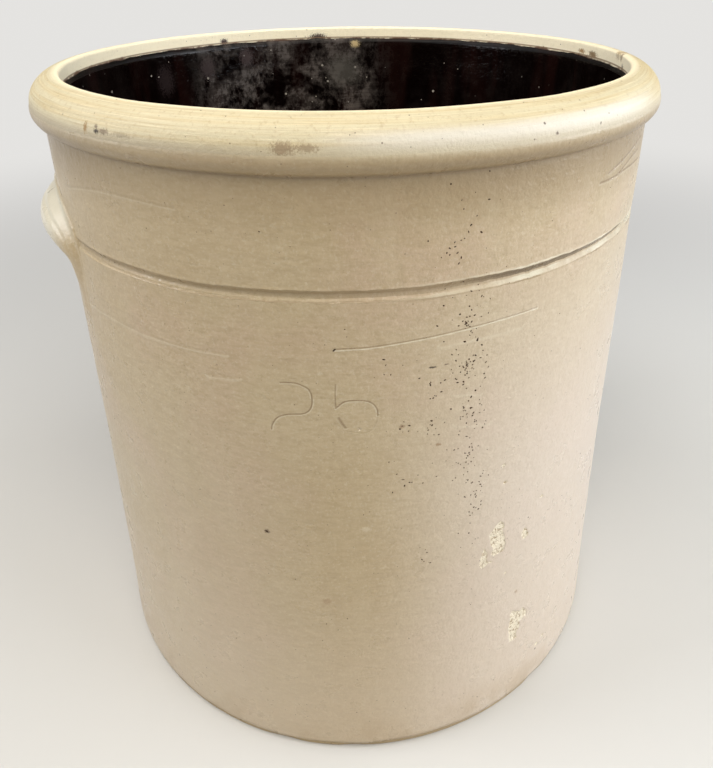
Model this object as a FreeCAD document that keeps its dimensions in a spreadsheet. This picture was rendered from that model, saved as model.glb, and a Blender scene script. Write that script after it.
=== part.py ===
import FreeCAD, Part
import math
import os
import Sketcher
from FreeCAD import Placement, Rotation, Vector

# Large straight-sided stoneware crock for making kraut, open at the top.
#
# Frame: millimetres, +Z up, origin at the centre of the flat underside.
# The two ear handles lie on the X axis, and the capacity number faces -Y.
#
# The crock is built up the way a potter builds one this large: a floor slab,
# a lower wall stood on it, an upper wall luted on at a dressed seam, a rolled
# rim on top and two ears pressed on the sides. A pale glaze covers the outside
# and a dark slip glaze lines the inside, each a thin skin of its own.

os.makedirs("parts", exist_ok=True)
doc = FreeCAD.newDocument("kraut_crock")

SIZES = [
    # whole vessel, measured over the glaze
    ("height", 570.0, "underside to the crown of the rim"),
    ("wall_radius", 257.3, "outside of the wall at the foot"),
    ("waist_inset", 0.8, "how much slimmer the wall is at its slight waist"),
    ("waist_height", 240.0, "height of that waist"),
    ("seam_flare", 1.3, "how much wider than at the foot the wall is at the seam"),
    ("crease_flare", 3.2, "how much wider than at the foot it is under the rim"),
    # clay sections
    ("wall_thickness", 19.0, "clay wall, from the floor to the seam"),
    ("mouth_thickness", 16.4, "clay wall under the rim, to which it thins from the seam up"),
    ("floor_thickness", 22.0, "clay floor"),
    ("foot_round", 5.5, "rounded outer edge of the underside"),
    ("cove_radius", 12.0, "coil pressed into the corner of floor and wall"),
    # rolled rim
    ("rim_height", 37.0, "from the crease under the roll up to its crown"),
    ("rim_overhang", 9.5, "how far the roll stands out of the wall"),
    ("rim_bend", 23.0, "outer upper bend of the roll"),
    ("rim_inner_bend", 3.0, "small bend from the crown to the inside"),
    ("throat_drop", 14.0, "from the crown down to where the inside runs straight"),
    # seam between the two walls, and its turned groove
    ("seam_drop", 81.2, "from the crease down to the seam"),
    ("groove_upper_side", 5.7, "long side of the groove, from the seam up"),
    ("groove_lower_side", 2.3, "steep side of the groove, from the seam down"),
    ("groove_depth", 2.5, "depth of the groove at the seam"),
    # glaze skins
    ("glaze_thickness", 0.8, "pale glaze outside"),
    ("glaze_foot_gap", 1.5, "bare clay between the rounded foot and the glaze"),
    ("slip_thickness", 0.8, "dark slip glaze inside"),
    # ear handles
    ("ear_span", 152.0, "between the middles of the two legs, along the wall"),
    ("ear_crown_rise", 1.0, "middle of the arch above the seam"),
    ("ear_leg_drop", 26.8, "below the seam, where the arch turns into its legs"),
    ("ear_foot_drop", 61.8, "below the seam, ends of the legs"),
    ("ear_reach", 20.5, "how far the arch stands out of the wall"),
    ("ear_leg_reach", 2.0, "how far the legs' ends stand out"),
    ("ear_half_width", 24.5, "half the width of the arch's band"),
    ("ear_leg_half_width", 10.0, "half the width of the legs' ends"),
    # capacity number, scratched before firing
    ("digit_height", 40.0, "height of the numerals"),
    ("digit_pitch", 46.0, "from the middle of one numeral to the next"),
    ("digit_drop", 85.8, "below the seam, middle of the numerals"),
    ("digit_azimuth", -109.0, "direction that the number faces, in degrees from +X"),
    ("stroke_width", 1.6, "width of a scratched stroke"),
    ("stroke_depth", 0.5, "depth of a scratched stroke"),
]


class Size:
    """A value together with the expression that binds it to the sheet."""

    def __init__(self, text, value):
        self.text = text
        self.value = value

    def _join(self, sign, other, value):
        return Size("(%s %s %s)" % (self.text, sign, other.text), value)

    def __add__(self, other):
        return self._join("+", other, self.value + other.value)

    def __sub__(self, other):
        return self._join("-", other, self.value - other.value)

    def __truediv__(self, number):
        return Size("(%s / %g)" % (self.text, number), self.value / number)


def make_sheet():
    """Write the driving sizes to a sheet and return them as bound sizes."""
    sheet = doc.addObject("Spreadsheet::Sheet", "sizes")
    for row, (alias, value, note) in enumerate(SIZES, start=1):
        sheet.set("A%d" % row, alias)
        sheet.set("B%d" % row, "%g" % value)
        sheet.set("C%d" % row, note)
        sheet.setAlias("B%d" % row, alias)
    doc.recompute()
    return {alias: Size("sizes.%s" % alias, float(sheet.get(alias))) for alias, _, _ in SIZES}


D = make_sheet()
ZERO = Size("0", 0.0)

# Heights that follow from the driving sizes, from the crown down.
crease_height = D["height"] - D["rim_height"]
rim_bend_height = D["height"] - D["rim_bend"]
crown_bend_end = D["height"] - D["rim_inner_bend"]
throat_height = D["height"] - D["throat_drop"]
seam_height = crease_height - D["seam_drop"]
groove_low = seam_height - D["groove_lower_side"]
groove_high = seam_height + D["groove_upper_side"]
glaze_foot_height = D["foot_round"] + D["glaze_foot_gap"]

# Radii of the glazed outside, of the clay under the glaze, and of the clay's inside.
waist_radius = D["wall_radius"] - D["waist_inset"]
seam_radius = D["wall_radius"] + D["seam_flare"]
crease_radius = D["wall_radius"] + D["crease_flare"]
rim_radius = crease_radius + D["rim_overhang"]
clay_base_radius = D["wall_radius"] - D["glaze_thickness"]
clay_waist_radius = waist_radius - D["glaze_thickness"]
clay_seam_radius = seam_radius - D["glaze_thickness"]
clay_crease_radius = crease_radius - D["glaze_thickness"]
clay_rim_radius = rim_radius - D["glaze_thickness"]
clay_groove_radius = clay_seam_radius - D["groove_depth"]
bore_base_radius = clay_base_radius - D["wall_thickness"]
bore_seam_radius = clay_seam_radius - D["wall_thickness"]
bore_crease_radius = clay_crease_radius - D["mouth_thickness"]
crown_radius = clay_rim_radius - D["rim_bend"]
throat_radius = crown_radius - D["rim_inner_bend"]


def arc_between(start, end, radius, left):
    """Arc of a circle from start to end, its centre on the left of the way or on the right."""
    middle = (start + end) / 2
    half = (end - start).Length / 2
    way = (end - start).normalize()
    side = Vector(-way.y, way.x, 0) if left else Vector(way.y, -way.x, 0)
    centre = middle + side * math.sqrt(radius ** 2 - half ** 2)
    first = math.atan2(start.y - centre.y, start.x - centre.x)
    last = math.atan2(end.y - centre.y, end.x - centre.x)
    circle = Part.Circle(centre, Vector(0, 0, 1), radius)
    if left:
        return Part.ArcOfCircle(circle, first, last)
    return Part.ArcOfCircle(circle, last, first)


def turned_body(label, outline):
    """Body turned about Z from a closed half section.

    outline is a list of (radius, height, bend) corners in order. bend belongs to the
    edge that leaves the corner: None for a straight edge, else (arc radius, centre on the left).
    """
    body = doc.addObject("PartDesign::Body", label + "_body")
    body.Label = label
    sketch = body.newObject("Sketcher::SketchObject", label + "_section")
    plane = [f for f in body.Origin.OriginFeatures if f.Role == "XZ_Plane"][0]
    sketch.AttachmentSupport = [(plane, "")]
    sketch.MapMode = "FlatFace"
    corners = [Vector(r.value, z.value, 0) for r, z, _ in outline]
    ends = []
    for index, (_, _, bend) in enumerate(outline):
        start = corners[index]
        end = corners[(index + 1) % len(corners)]
        if bend is None:
            edge = sketch.addGeometry(Part.LineSegment(start, end), False)
            ends.append((edge, 1, 2))
            continue
        radius, left = bend
        edge = sketch.addGeometry(arc_between(start, end, radius.value, left), False)
        ends.append((edge, 1, 2) if left else (edge, 2, 1))
        which = sketch.addConstraint(Sketcher.Constraint("Radius", edge, radius.value))
        sketch.setExpression("Constraints[%d]" % which, radius.text)
    for index, (r, z, _) in enumerate(outline):
        edge, first, _ = ends[index]
        before, _, last = ends[index - 1]
        sketch.addConstraint(Sketcher.Constraint("Coincident", before, last, edge, first))
        for kind, size in (("DistanceX", r), ("DistanceY", z)):
            if size is ZERO:
                axis = -2 if kind == "DistanceX" else -1
                sketch.addConstraint(Sketcher.Constraint("PointOnObject", edge, first, axis))
                continue
            which = sketch.addConstraint(Sketcher.Constraint(kind, -1, 1, edge, first, size.value))
            sketch.setExpression("Constraints[%d]" % which, size.text)
    turn = body.newObject("PartDesign::Revolution", label + "_turned")
    turn.Profile = sketch
    turn.ReferenceAxis = (sketch, ["V_Axis"])
    turn.Angle = 360.0
    body.Placement = Placement()
    return body


def floor_slab():
    """Round slab with a softened foot edge, which everything else stands on."""
    foot_flat = clay_base_radius - D["foot_round"]
    return turned_body("floor_slab", [
        (ZERO, ZERO, None),
        (foot_flat, ZERO, (D["foot_round"], True)),
        (clay_base_radius, D["foot_round"], None),
        (clay_base_radius, D["floor_thickness"], None),
        (ZERO, D["floor_thickness"], None),
    ])


def lower_wall():
    """Wall from the floor to the seam, with the cove inside and half of the groove outside."""
    cove_radius_out = bore_base_radius - D["cove_radius"]
    cove_top = D["floor_thickness"] + D["cove_radius"]
    return turned_body("lower_wall", [
        (cove_radius_out, D["floor_thickness"], None),
        (clay_base_radius, D["floor_thickness"], None),
        (clay_waist_radius, D["waist_height"], None),
        (clay_seam_radius, groove_low, None),
        (clay_groove_radius, seam_height, None),
        (bore_seam_radius, seam_height, None),
        (bore_base_radius, cove_top, (D["cove_radius"], False)),
    ])


def upper_wall():
    """Wall from the seam to the crease, opening slightly towards the rim."""
    return turned_body("upper_wall", [
        (bore_seam_radius, seam_height, None),
        (clay_groove_radius, seam_height, None),
        (clay_seam_radius, groove_high, None),
        (clay_crease_radius, crease_height, None),
        (bore_crease_radius, crease_height, None),
    ])


def underside_bend():
    """Radius of the roll's underside, which leaves the widest point upright."""
    across = clay_rim_radius - clay_crease_radius
    down = rim_bend_height - crease_height
    text = "((%s ^ 2 + %s ^ 2) / (2 * %s))" % (across.text, down.text, across.text)
    value = (across.value ** 2 + down.value ** 2) / (2 * across.value)
    return Size(text, value)


def rolled_rim():
    """Roll of clay: full outside, crowned on top, with a small bend down to the inside."""
    return turned_body("rolled_rim", [
        (bore_crease_radius, crease_height, None),
        (clay_crease_radius, crease_height, (underside_bend(), True)),
        (clay_rim_radius, rim_bend_height, (D["rim_bend"], True)),
        (crown_radius, D["height"], (D["rim_inner_bend"], True)),
        (throat_radius, crown_bend_end, None),
        (bore_crease_radius, throat_height, None),
    ])


def glaze_blank():
    """Skin of pale glaze on walls and groove, up to the widest line of the rim."""
    skin = D["glaze_thickness"]
    return turned_body("glaze_blank", [
        (clay_base_radius, glaze_foot_height, None),
        (D["wall_radius"], glaze_foot_height, None),
        (D["wall_radius"], D["floor_thickness"], None),
        (waist_radius, D["waist_height"], None),
        (seam_radius, groove_low, None),
        (clay_groove_radius + skin, seam_height, None),
        (seam_radius, groove_high, None),
        (crease_radius, crease_height, (underside_bend(), True)),
        (rim_radius, rim_bend_height, None),
        (clay_rim_radius, rim_bend_height, (underside_bend(), False)),
        (clay_crease_radius, crease_height, None),
        (clay_seam_radius, groove_high, None),
        (clay_groove_radius, seam_height, None),
        (clay_seam_radius, groove_low, None),
        (clay_waist_radius, D["waist_height"], None),
        (clay_base_radius, D["floor_thickness"], None),
    ])


def inner_slip_glaze():
    """Dark skin on the floor, in the cove and up the inside to the rim's throat."""
    skin = D["slip_thickness"]
    floor_top = D["floor_thickness"]
    cove_out = bore_base_radius - D["cove_radius"]
    cove_top = floor_top + D["cove_radius"]
    cove_skin = D["cove_radius"] - skin
    return turned_body("inner_slip_glaze", [
        (ZERO, floor_top, None),
        (cove_out, floor_top, (D["cove_radius"], True)),
        (bore_base_radius, cove_top, None),
        (bore_seam_radius, seam_height, None),
        (bore_crease_radius, crease_height, None),
        (bore_crease_radius, throat_height, None),
        (bore_crease_radius - skin, throat_height, None),
        (bore_crease_radius - skin, crease_height, None),
        (bore_seam_radius - skin, seam_height, None),
        (bore_base_radius - skin, cove_top, (cove_skin, False)),
        (cove_out, floor_top + skin, None),
        (ZERO, floor_top + skin, None),
    ])


def wall_corners():
    """Corners of the glazed wall's outside from floor to crease, groove left out."""
    return [
        (D["wall_radius"].value, D["floor_thickness"].value),
        (waist_radius.value, D["waist_height"].value),
        (seam_radius.value, groove_low.value),
        (seam_radius.value, groove_high.value),
        (crease_radius.value, crease_height.value),
    ]


def wall_radius_at(z):
    """Radius of the glazed wall's outside at a height, groove left out."""
    corners = wall_corners()
    for (low_radius, low), (high_radius, high) in zip(corners, corners[1:]):
        if z <= high:
            break
    return low_radius + (high_radius - low_radius) * (z - low) / (high - low)


def glazed_core():
    """Everything inside the glazed wall's outside, which a cut takes away from an ear."""
    corners = wall_corners()
    groove_floor = (clay_groove_radius.value + D["glaze_thickness"].value, seam_height.value)
    rise = [Vector(radius, 0, z) for radius, z in corners[:3] + [groove_floor] + corners[3:]]
    axis = [Vector(0, 0, rise[-1].z), Vector(0, 0, rise[0].z)]
    half = Part.Face(Part.makePolygon(rise + axis + rise[:1]))
    return half.revolve(Vector(0, 0, 0), Vector(0, 0, 1), 360)


def ear_middle_line(share):
    """Point on the wall's surface along the arch: share runs from -1 through the crown to 1."""
    half_span = D["ear_span"].value / 2
    crown = (seam_height + D["ear_crown_rise"]).value
    leg_top = (seam_height - D["ear_leg_drop"]).value
    foot = (seam_height - D["ear_foot_drop"]).value
    arch_share = 0.72
    fullness = 2.0 / 2.7
    along = abs(share)
    if along <= arch_share:
        turn = along / arch_share * math.pi / 2
        across = half_span * math.sin(turn) ** fullness
        z = leg_top + (crown - leg_top) * max(math.cos(turn), 0.0) ** fullness
    else:
        across = half_span
        z = leg_top - (leg_top - foot) * (along - arch_share) / (1 - arch_share)
    radius = wall_radius_at(z)
    azimuth = math.copysign(across, share) / radius
    return Vector(radius * math.cos(azimuth), radius * math.sin(azimuth), z), azimuth


def ear_section(share):
    """Ellipse across the arch, its inner half sunk in the wall."""
    step = 0.01
    point, azimuth = ear_middle_line(share)
    ahead, _ = ear_middle_line(min(share + step, 1.0))
    behind, _ = ear_middle_line(max(share - step, -1.0))
    outward = Vector(math.cos(azimuth), math.sin(azimuth), 0)
    way = (ahead - behind).normalize()
    across = way.cross(outward).normalize()
    normal = outward.cross(across).normalize()
    past = min(max((abs(share) - 0.35) / 0.65, 0.0), 1.0)
    fade = past * past * (3 - 2 * past)
    reach = D["ear_reach"].value * (1 - fade) + D["ear_leg_reach"].value * fade
    half_width = D["ear_half_width"].value * (1 - fade) + D["ear_leg_half_width"].value * fade
    long_axis, long_size, short_size = across, half_width, reach
    if reach > half_width:
        long_axis, long_size, short_size = outward, reach, half_width
    ellipse = Part.Ellipse()
    ellipse.Center = point
    ellipse.Axis = normal
    ellipse.MajorRadius = long_size
    ellipse.MinorRadius = short_size
    ellipse.XAxis = long_axis
    return Part.Wire([ellipse.toShape()])


def ear_shape():
    """Arch on the +X side, without the half of it that lies inside the wall."""
    stations = 8
    sections = [ear_section(i / stations) for i in range(-stations, stations + 1)]
    arch = Part.makeLoft(sections, True, False)
    return arch.cut(glazed_core())


def turned_copy(label, shape, turn):
    """Feature with the shape turned about Z to its own side."""
    feature = doc.addObject("Part::Feature", label)
    feature.Label = label
    feature.Shape = shape
    feature.Placement = Placement(Vector(0, 0, 0), Rotation(Vector(0, 0, 1), turn))
    return feature


def numeral_strokes():
    """Straight and round strokes of the two numerals, in a plane with x to the right and y up."""
    half = D["digit_height"].value / 2

    def numeral(middle, strokes):
        points = [[Vector(middle + x * half, y * half, 0) for x, y in stroke] for stroke in strokes]
        curves = [Part.LineSegment(*p) if len(p) == 2 else Part.Arc(*p) for p in points]
        return [curve.toShape() for curve in curves]

    two = numeral(-D["digit_pitch"].value / 2, [
        [(-0.62, 0.65), (0.02, 1.0), (0.75, 0.38)],
        [(0.75, 0.38), (0.55, -0.13), (-0.1, -0.3)],
        [(-0.1, -0.3), (-0.55, -0.52), (-0.72, -1.0)],
    ])
    five = numeral(D["digit_pitch"].value / 2, [
        [(-0.72, 1.0), (-0.72, 0.1)],
        [(-0.66, 0.06), (0.0, 0.36), (0.7, -0.3)],
        [(0.7, -0.3), (0.2, -1.0), (-0.68, -0.7)],
    ])
    return two + five


def stroke_bar(stroke, half_width, reach):
    """Solid with round ends that stands on one stroke."""
    first, last = stroke.ParameterRange
    start, end = stroke.valueAt(first), stroke.valueAt(last)
    path = stroke.Curve
    if isinstance(path, Part.Line):
        way = (end - start).normalize() * half_width
        side = Vector(-way.y, way.x, 0)
        outline = Part.makePolygon([start + side, end + side, end - side, start - side, start + side])
    else:
        rails = []
        for radius in (path.Radius - half_width, path.Radius + half_width):
            circle = Part.Circle(path.Center, path.Axis, radius)
            circle.XAxis = path.XAxis
            rails.append(Part.ArcOfCircle(circle, first, last))
        inner, outer = rails
        outline = Part.Wire([inner.toShape(), Part.makeLine(inner.EndPoint, outer.EndPoint),
                             outer.toShape(), Part.makeLine(outer.StartPoint, inner.StartPoint)])
    up = Vector(0, 0, reach)
    bar = Part.Face(outline).extrude(up)
    caps = [Part.makeCylinder(half_width, reach, point) for point in (start, end)]
    return bar.fuse(caps)


def number_cutter():
    """Shallow cutter for the number, shaped to the wall's curve."""
    reach = rim_radius.value
    height = (seam_height - D["digit_drop"]).value
    floor = wall_radius_at(height) - D["stroke_depth"].value
    half_stroke = D["stroke_width"].value / 2
    bars = [stroke_bar(stroke, half_stroke, reach) for stroke in numeral_strokes()]
    flat = bars[0].fuse(bars[1:])
    facing = Rotation(Vector(0, 0, 1), D["digit_azimuth"].value + 90.0)
    upright = Rotation(Vector(1, 0, 0), 90.0)
    middle = Vector(0, 0, height)
    flat.Placement = Placement(middle, facing.multiply(upright))
    inside = Part.makeCylinder(floor, D["height"].value)
    cutter = doc.addObject("Part::Feature", "number_cutter")
    cutter.Shape = flat.cut(inside)
    return cutter


def outer_glaze():
    """Pale glaze over the outside, with the number scratched in it."""
    coat = doc.addObject("Part::Cut", "outer_glaze")
    coat.Base = glaze_blank()
    coat.Tool = number_cutter()
    coat.Label = "outer_glaze"
    return coat


slab = floor_slab()
lower = lower_wall()
upper = upper_wall()
rim = rolled_rim()
ear = ear_shape()
right_ear = turned_copy("right_ear_handle", ear, 0.0)
left_ear = turned_copy("left_ear_handle", ear, 180.0)
coat = outer_glaze()
lining = inner_slip_glaze()
doc.recompute()

subparts = [slab, lower, upper, rim, right_ear, left_ear, coat, lining]

for item in doc.Objects:
    if "Invalid" in item.State or "Error" in item.State:
        raise RuntimeError("%s failed: %s" % (item.Name, item.State))
for piece in subparts:
    if piece.Shape.isNull() or not piece.Shape.isValid():
        raise RuntimeError("%s has no valid shape" % piece.Label)
for piece in subparts:
    piece.Shape.exportStep("parts/%s.step" % piece.Label)
    box = piece.Shape.BoundBox
    print("%-18s %10.1f cm3  solids %d  z %.1f to %.1f  reach %.1f" % (
        piece.Label, piece.Shape.Volume / 1000, len(piece.Shape.Solids),
        box.ZMin, box.ZMax, max(box.XMax, -box.XMin)))
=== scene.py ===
# %% [markdown]
# # A large stoneware crock, finished for rendering
#
# The construction comes in as a fixed frame: eight closed solids, in metres, +Z up, standing on
# z = 0 with the two ears on the X axis. This lesson dresses that frame. Each thing that shows
# gets its own mesh, with the unevenness that a potter's hands and a century of use leave, and
# its own material. The radii and heights are read from the frame, so the dressed crock stays as
# large as the constructed one.

# %% Load the frame
import math
import random

import bmesh
import bpy
from mathutils import Matrix, Vector, noise


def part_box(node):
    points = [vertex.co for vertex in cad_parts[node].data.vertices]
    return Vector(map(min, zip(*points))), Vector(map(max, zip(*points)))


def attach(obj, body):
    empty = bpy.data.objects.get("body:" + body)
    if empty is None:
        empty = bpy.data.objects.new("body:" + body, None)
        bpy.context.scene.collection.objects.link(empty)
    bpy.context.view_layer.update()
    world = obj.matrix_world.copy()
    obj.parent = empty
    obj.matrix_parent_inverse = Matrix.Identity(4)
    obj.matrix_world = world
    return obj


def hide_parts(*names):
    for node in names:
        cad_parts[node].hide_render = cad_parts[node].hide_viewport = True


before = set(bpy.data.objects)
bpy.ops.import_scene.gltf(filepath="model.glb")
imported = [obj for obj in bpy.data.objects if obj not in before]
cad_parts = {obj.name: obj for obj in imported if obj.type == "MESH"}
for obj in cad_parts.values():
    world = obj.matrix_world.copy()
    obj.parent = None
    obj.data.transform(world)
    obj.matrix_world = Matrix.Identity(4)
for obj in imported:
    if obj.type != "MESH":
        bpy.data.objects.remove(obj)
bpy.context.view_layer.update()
MM = 0.001

# %% [markdown]
# ## Measures
#
# A turned pot is described by radii at heights. The frame's own boxes give most of them: a
# node's largest x is its outer radius, its z range gives where it starts and stops. The roll is
# a quarter circle from its widest line up to its top, so that height is also its bend.

# %% Radii and heights of the crock
RIM_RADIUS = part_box("outer_glaze")[1].x
CLAY_RIM_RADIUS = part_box("rolled_rim")[1].x
GLAZE = RIM_RADIUS - CLAY_RIM_RADIUS
FOOT_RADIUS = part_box("floor_slab")[1].x + GLAZE
CREASE_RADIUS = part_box("upper_wall")[1].x + GLAZE
BORE_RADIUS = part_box("inner_slip_glaze")[1].x
WAIST_INSET = 0.8 * MM
SEAM_FLARE = 1.3 * MM
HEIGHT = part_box("rolled_rim")[1].z
CREASE_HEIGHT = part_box("rolled_rim")[0].z
WIDEST_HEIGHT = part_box("outer_glaze")[1].z
SEAM_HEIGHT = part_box("upper_wall")[0].z
FLOOR_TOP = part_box("lower_wall")[0].z
GLAZE_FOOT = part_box("outer_glaze")[0].z
SLIP_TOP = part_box("inner_slip_glaze")[1].z
WAIST_HEIGHT = 240 * MM
CROWN_BEND = HEIGHT - WIDEST_HEIGHT
CROWN_RADIUS = CLAY_RIM_RADIUS - CROWN_BEND
print("rim radius %.1f mm, height %.1f mm" % (RIM_RADIUS / MM, HEIGHT / MM))

# %% [markdown]
# ## Camera
#
# The photograph looks down on the crock from about head height. The picture is a crop, so the
# lens axis doesn't pass through its middle, and a small lens shift puts that right. An angle
# on the crock is given as an azimuth in degrees from +X, seen from above, as everywhere here.

# %% Place the camera
PHOTO_WIDTH, PHOTO_HEIGHT = 713, 768
FOCAL_PIXELS = 713.5
AXIS_PIXEL = (377.1, 265.0)
EYE = Vector((-161.8, -649.1, 657.4)) * MM
HEADING = math.radians(16.09)
LOOK_DOWN = math.radians(23.974)
TILT = math.radians(-0.482)


def add_object(name, data):
    """An object for the data, linked into the scene."""
    item = bpy.data.objects.new(name, data)
    bpy.context.scene.collection.objects.link(item)
    return item


def look_matrix(eye, heading, down, tilt):
    """Camera placement from where it stands, where it looks and how it is tilted."""
    ahead = Vector((
        math.sin(heading) * math.cos(down), math.cos(heading) * math.cos(down), -math.sin(down)))
    level = Vector((math.cos(heading), -math.sin(heading), 0))
    above = level.cross(ahead)
    right = math.cos(tilt) * level + math.sin(tilt) * above
    up = -math.sin(tilt) * level + math.cos(tilt) * above
    turn = Matrix((right, up, -ahead)).transposed().to_4x4()
    return Matrix.Translation(eye) @ turn


camera_data = bpy.data.cameras.new("photo_camera")
camera_data.sensor_width = 36
camera_data.lens = FOCAL_PIXELS / PHOTO_HEIGHT * camera_data.sensor_width
camera_data.shift_x = (PHOTO_WIDTH / 2 - AXIS_PIXEL[0]) / PHOTO_HEIGHT
camera_data.shift_y = (AXIS_PIXEL[1] - PHOTO_HEIGHT / 2) / PHOTO_HEIGHT
camera_data.clip_start = 0.01
camera = add_object("photo_camera", camera_data)
camera.matrix_world = look_matrix(EYE, HEADING, LOOK_DOWN, TILT)
bpy.context.scene.camera = camera
bpy.context.scene.view_settings.view_transform = "Standard"
print("camera stands at azimuth %.1f" % math.degrees(math.atan2(EYE.y, EYE.x)))

# %% [markdown]
# ## Helpers
#
# A few small tools are used again and again: a point from azimuth, radius and height, and the
# way back; soft steps from 0 to 1; rows of points for a half section; a turned shell, which
# spins that half section about Z as a potter's wheel does; and the steps that make a finished
# bmesh an object of the crock. Spin is the operator that fits a pot, because one drawn line
# gives the whole surface.

# %% Helpers for places and soft steps


def on_circle(azimuth, radius, height):
    """Point at an azimuth in degrees."""
    angle = math.radians(azimuth)
    return Vector((radius * math.cos(angle), radius * math.sin(angle), height))


def azimuth_of(point):
    return math.degrees(math.atan2(point.y, point.x))


def outward_of(point):
    """Level direction from the crock's axis to a point."""
    return Vector((point.x, point.y, 0)).normalized()


def smoothstep(low, high, value):
    share = min(max((value - low) / (high - low), 0.0), 1.0)
    return share * share * (3 - 2 * share)


def bump_share(value, middle, half_width):
    """1 in the middle, falling smoothly to 0 at half_width away."""
    return 1.0 - smoothstep(0.0, half_width, abs(value - middle))


# %% Helpers for turned work


def arc(centre, radius, first, last, steps):
    """Points of an arc in the half section, angles in degrees from the radial direction."""
    angles = [math.radians(first + (last - first) * i / steps) for i in range(steps + 1)]
    return [(centre[0] + radius * math.cos(angle), centre[1] + radius * math.sin(angle))
            for angle in angles]


def rows_along(start, *legs):
    """Points along straight legs, (end, spacing) each, without the last end."""
    rows = []
    for end, spacing in legs:
        length = math.hypot(end[0] - start[0], end[1] - start[1])
        count = max(1, round(length / spacing))
        rows += [(start[0] + (end[0] - start[0]) * i / count,
                  start[1] + (end[1] - start[1]) * i / count) for i in range(count)]
        start = end
    return rows


def turned_shell(section, steps, closed=False):
    """A half section of (radius, height) points, spun about Z."""
    bm = bmesh.new()
    verts = [bm.verts.new((radius, 0, height)) for radius, height in section]
    pairs = list(zip(verts, verts[1:]))
    if closed:
        pairs.append((verts[-1], verts[0]))
    edges = [bm.edges.new(pair) for pair in pairs]
    bmesh.ops.spin(bm, geom=verts + edges, cent=(0, 0, 0), axis=(0, 0, 1),
                   angle=2 * math.pi, steps=steps, use_merge=True)
    bmesh.ops.remove_doubles(bm, verts=bm.verts[:], dist=1e-6)
    bmesh.ops.recalc_face_normals(bm, faces=bm.faces[:])
    return bm


def finish_piece(bm, name, replaced, smooth_angle=50):
    """Make the bmesh an object that rides on the crock and stands for the named nodes."""
    mesh = bpy.data.meshes.new(name)
    bm.to_mesh(mesh)
    bm.free()
    mesh.shade_smooth()
    mesh.set_sharp_from_angle(angle=math.radians(smooth_angle))
    piece = add_object(name, mesh)
    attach(piece, "root")
    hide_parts(*replaced)
    print("%s: %d faces" % (name, len(mesh.polygons)))
    return piece


def thicken(piece, thickness):
    """Give a skin its thickness, behind its faces."""
    modifier = piece.modifiers.new("glaze_thickness", "SOLIDIFY")
    modifier.thickness = thickness
    modifier.offset = -1.0
    modifier.use_rim = True


# %% [markdown]
# ## How the hand shows
#
# A crock this large is thrown in two sections and never comes out true. The surface is out of
# round by part of a millimetre, and the fingers leave low rings that climb the wall. Both come
# from smooth noise read at the point on the crock, so the glaze skin, the rim and the marks on
# them all move together. The wall may only swell, because the constructed clay lies under it,
# and the swelling fades towards the rim, which is the widest thing in the frame.

# %% The potter's unevenness
WALL_SWELL = 0.8 * MM
SWELL_FADE = (CREASE_HEIGHT - 60 * MM, CREASE_HEIGHT - 8 * MM)
RING_HEIGHT = 0.16 * MM
FOOT_FLARE = 0.9 * MM
FLARE_FADE = (5 * MM, 70 * MM)
WALL_STATIONS = [(0.0, FOOT_RADIUS), (WAIST_HEIGHT, FOOT_RADIUS - WAIST_INSET),
                 (SEAM_HEIGHT, FOOT_RADIUS + SEAM_FLARE), (CREASE_HEIGHT, CREASE_RADIUS)]


def side_noise(side, across, level):
    """Smooth noise read round the crock at a scale of across, and up it by level."""
    return noise.noise(Vector((side.x * across, side.y * across, level)))


def swell_at(point):
    """How far the glaze stands out beyond its true radius, in metres."""
    side = outward_of(point) * RIM_RADIUS
    slow = 0.5 + 0.5 * side_noise(side, 5, point.z * 4)
    rings = side_noise(side, 2, point.z * 75)
    fade = 1.0 - smoothstep(*SWELL_FADE, point.z)
    flare = FOOT_FLARE * (1.0 - smoothstep(*FLARE_FADE, point.z))
    return (WALL_SWELL * slow + RING_HEIGHT * rings) * fade + flare


def wall_radius(height):
    """Radius of the glazed wall, without the groove."""
    for (low, low_radius), (high, high_radius) in zip(WALL_STATIONS, WALL_STATIONS[1:]):
        if height <= high:
            share = (height - low) / (high - low)
            return low_radius + (high_radius - low_radius) * share
    return CREASE_RADIUS


print("the wall swells by up to %.1f mm" % ((WALL_SWELL + RING_HEIGHT) / MM))

# %% [markdown]
# ## Shared shader groups
#
# Five effects come back in several finishes, so each is a node group: soft mottling of the
# fired colour, the faint level lines of turning, fine specks, a stain with a ragged edge at a
# chosen place, and the look of the rubbed rim, which the skin shares where it laps on to the
# roll. Copied nodes would drift apart, and a group is built once. A group puts out masks, and
# the rim's also a colour. The Principled shader stays in each material, where its plain
# numbers are easy to read. Heights in the finishes are in metres over the ground.

# %% Helpers for wiring nodes


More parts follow.
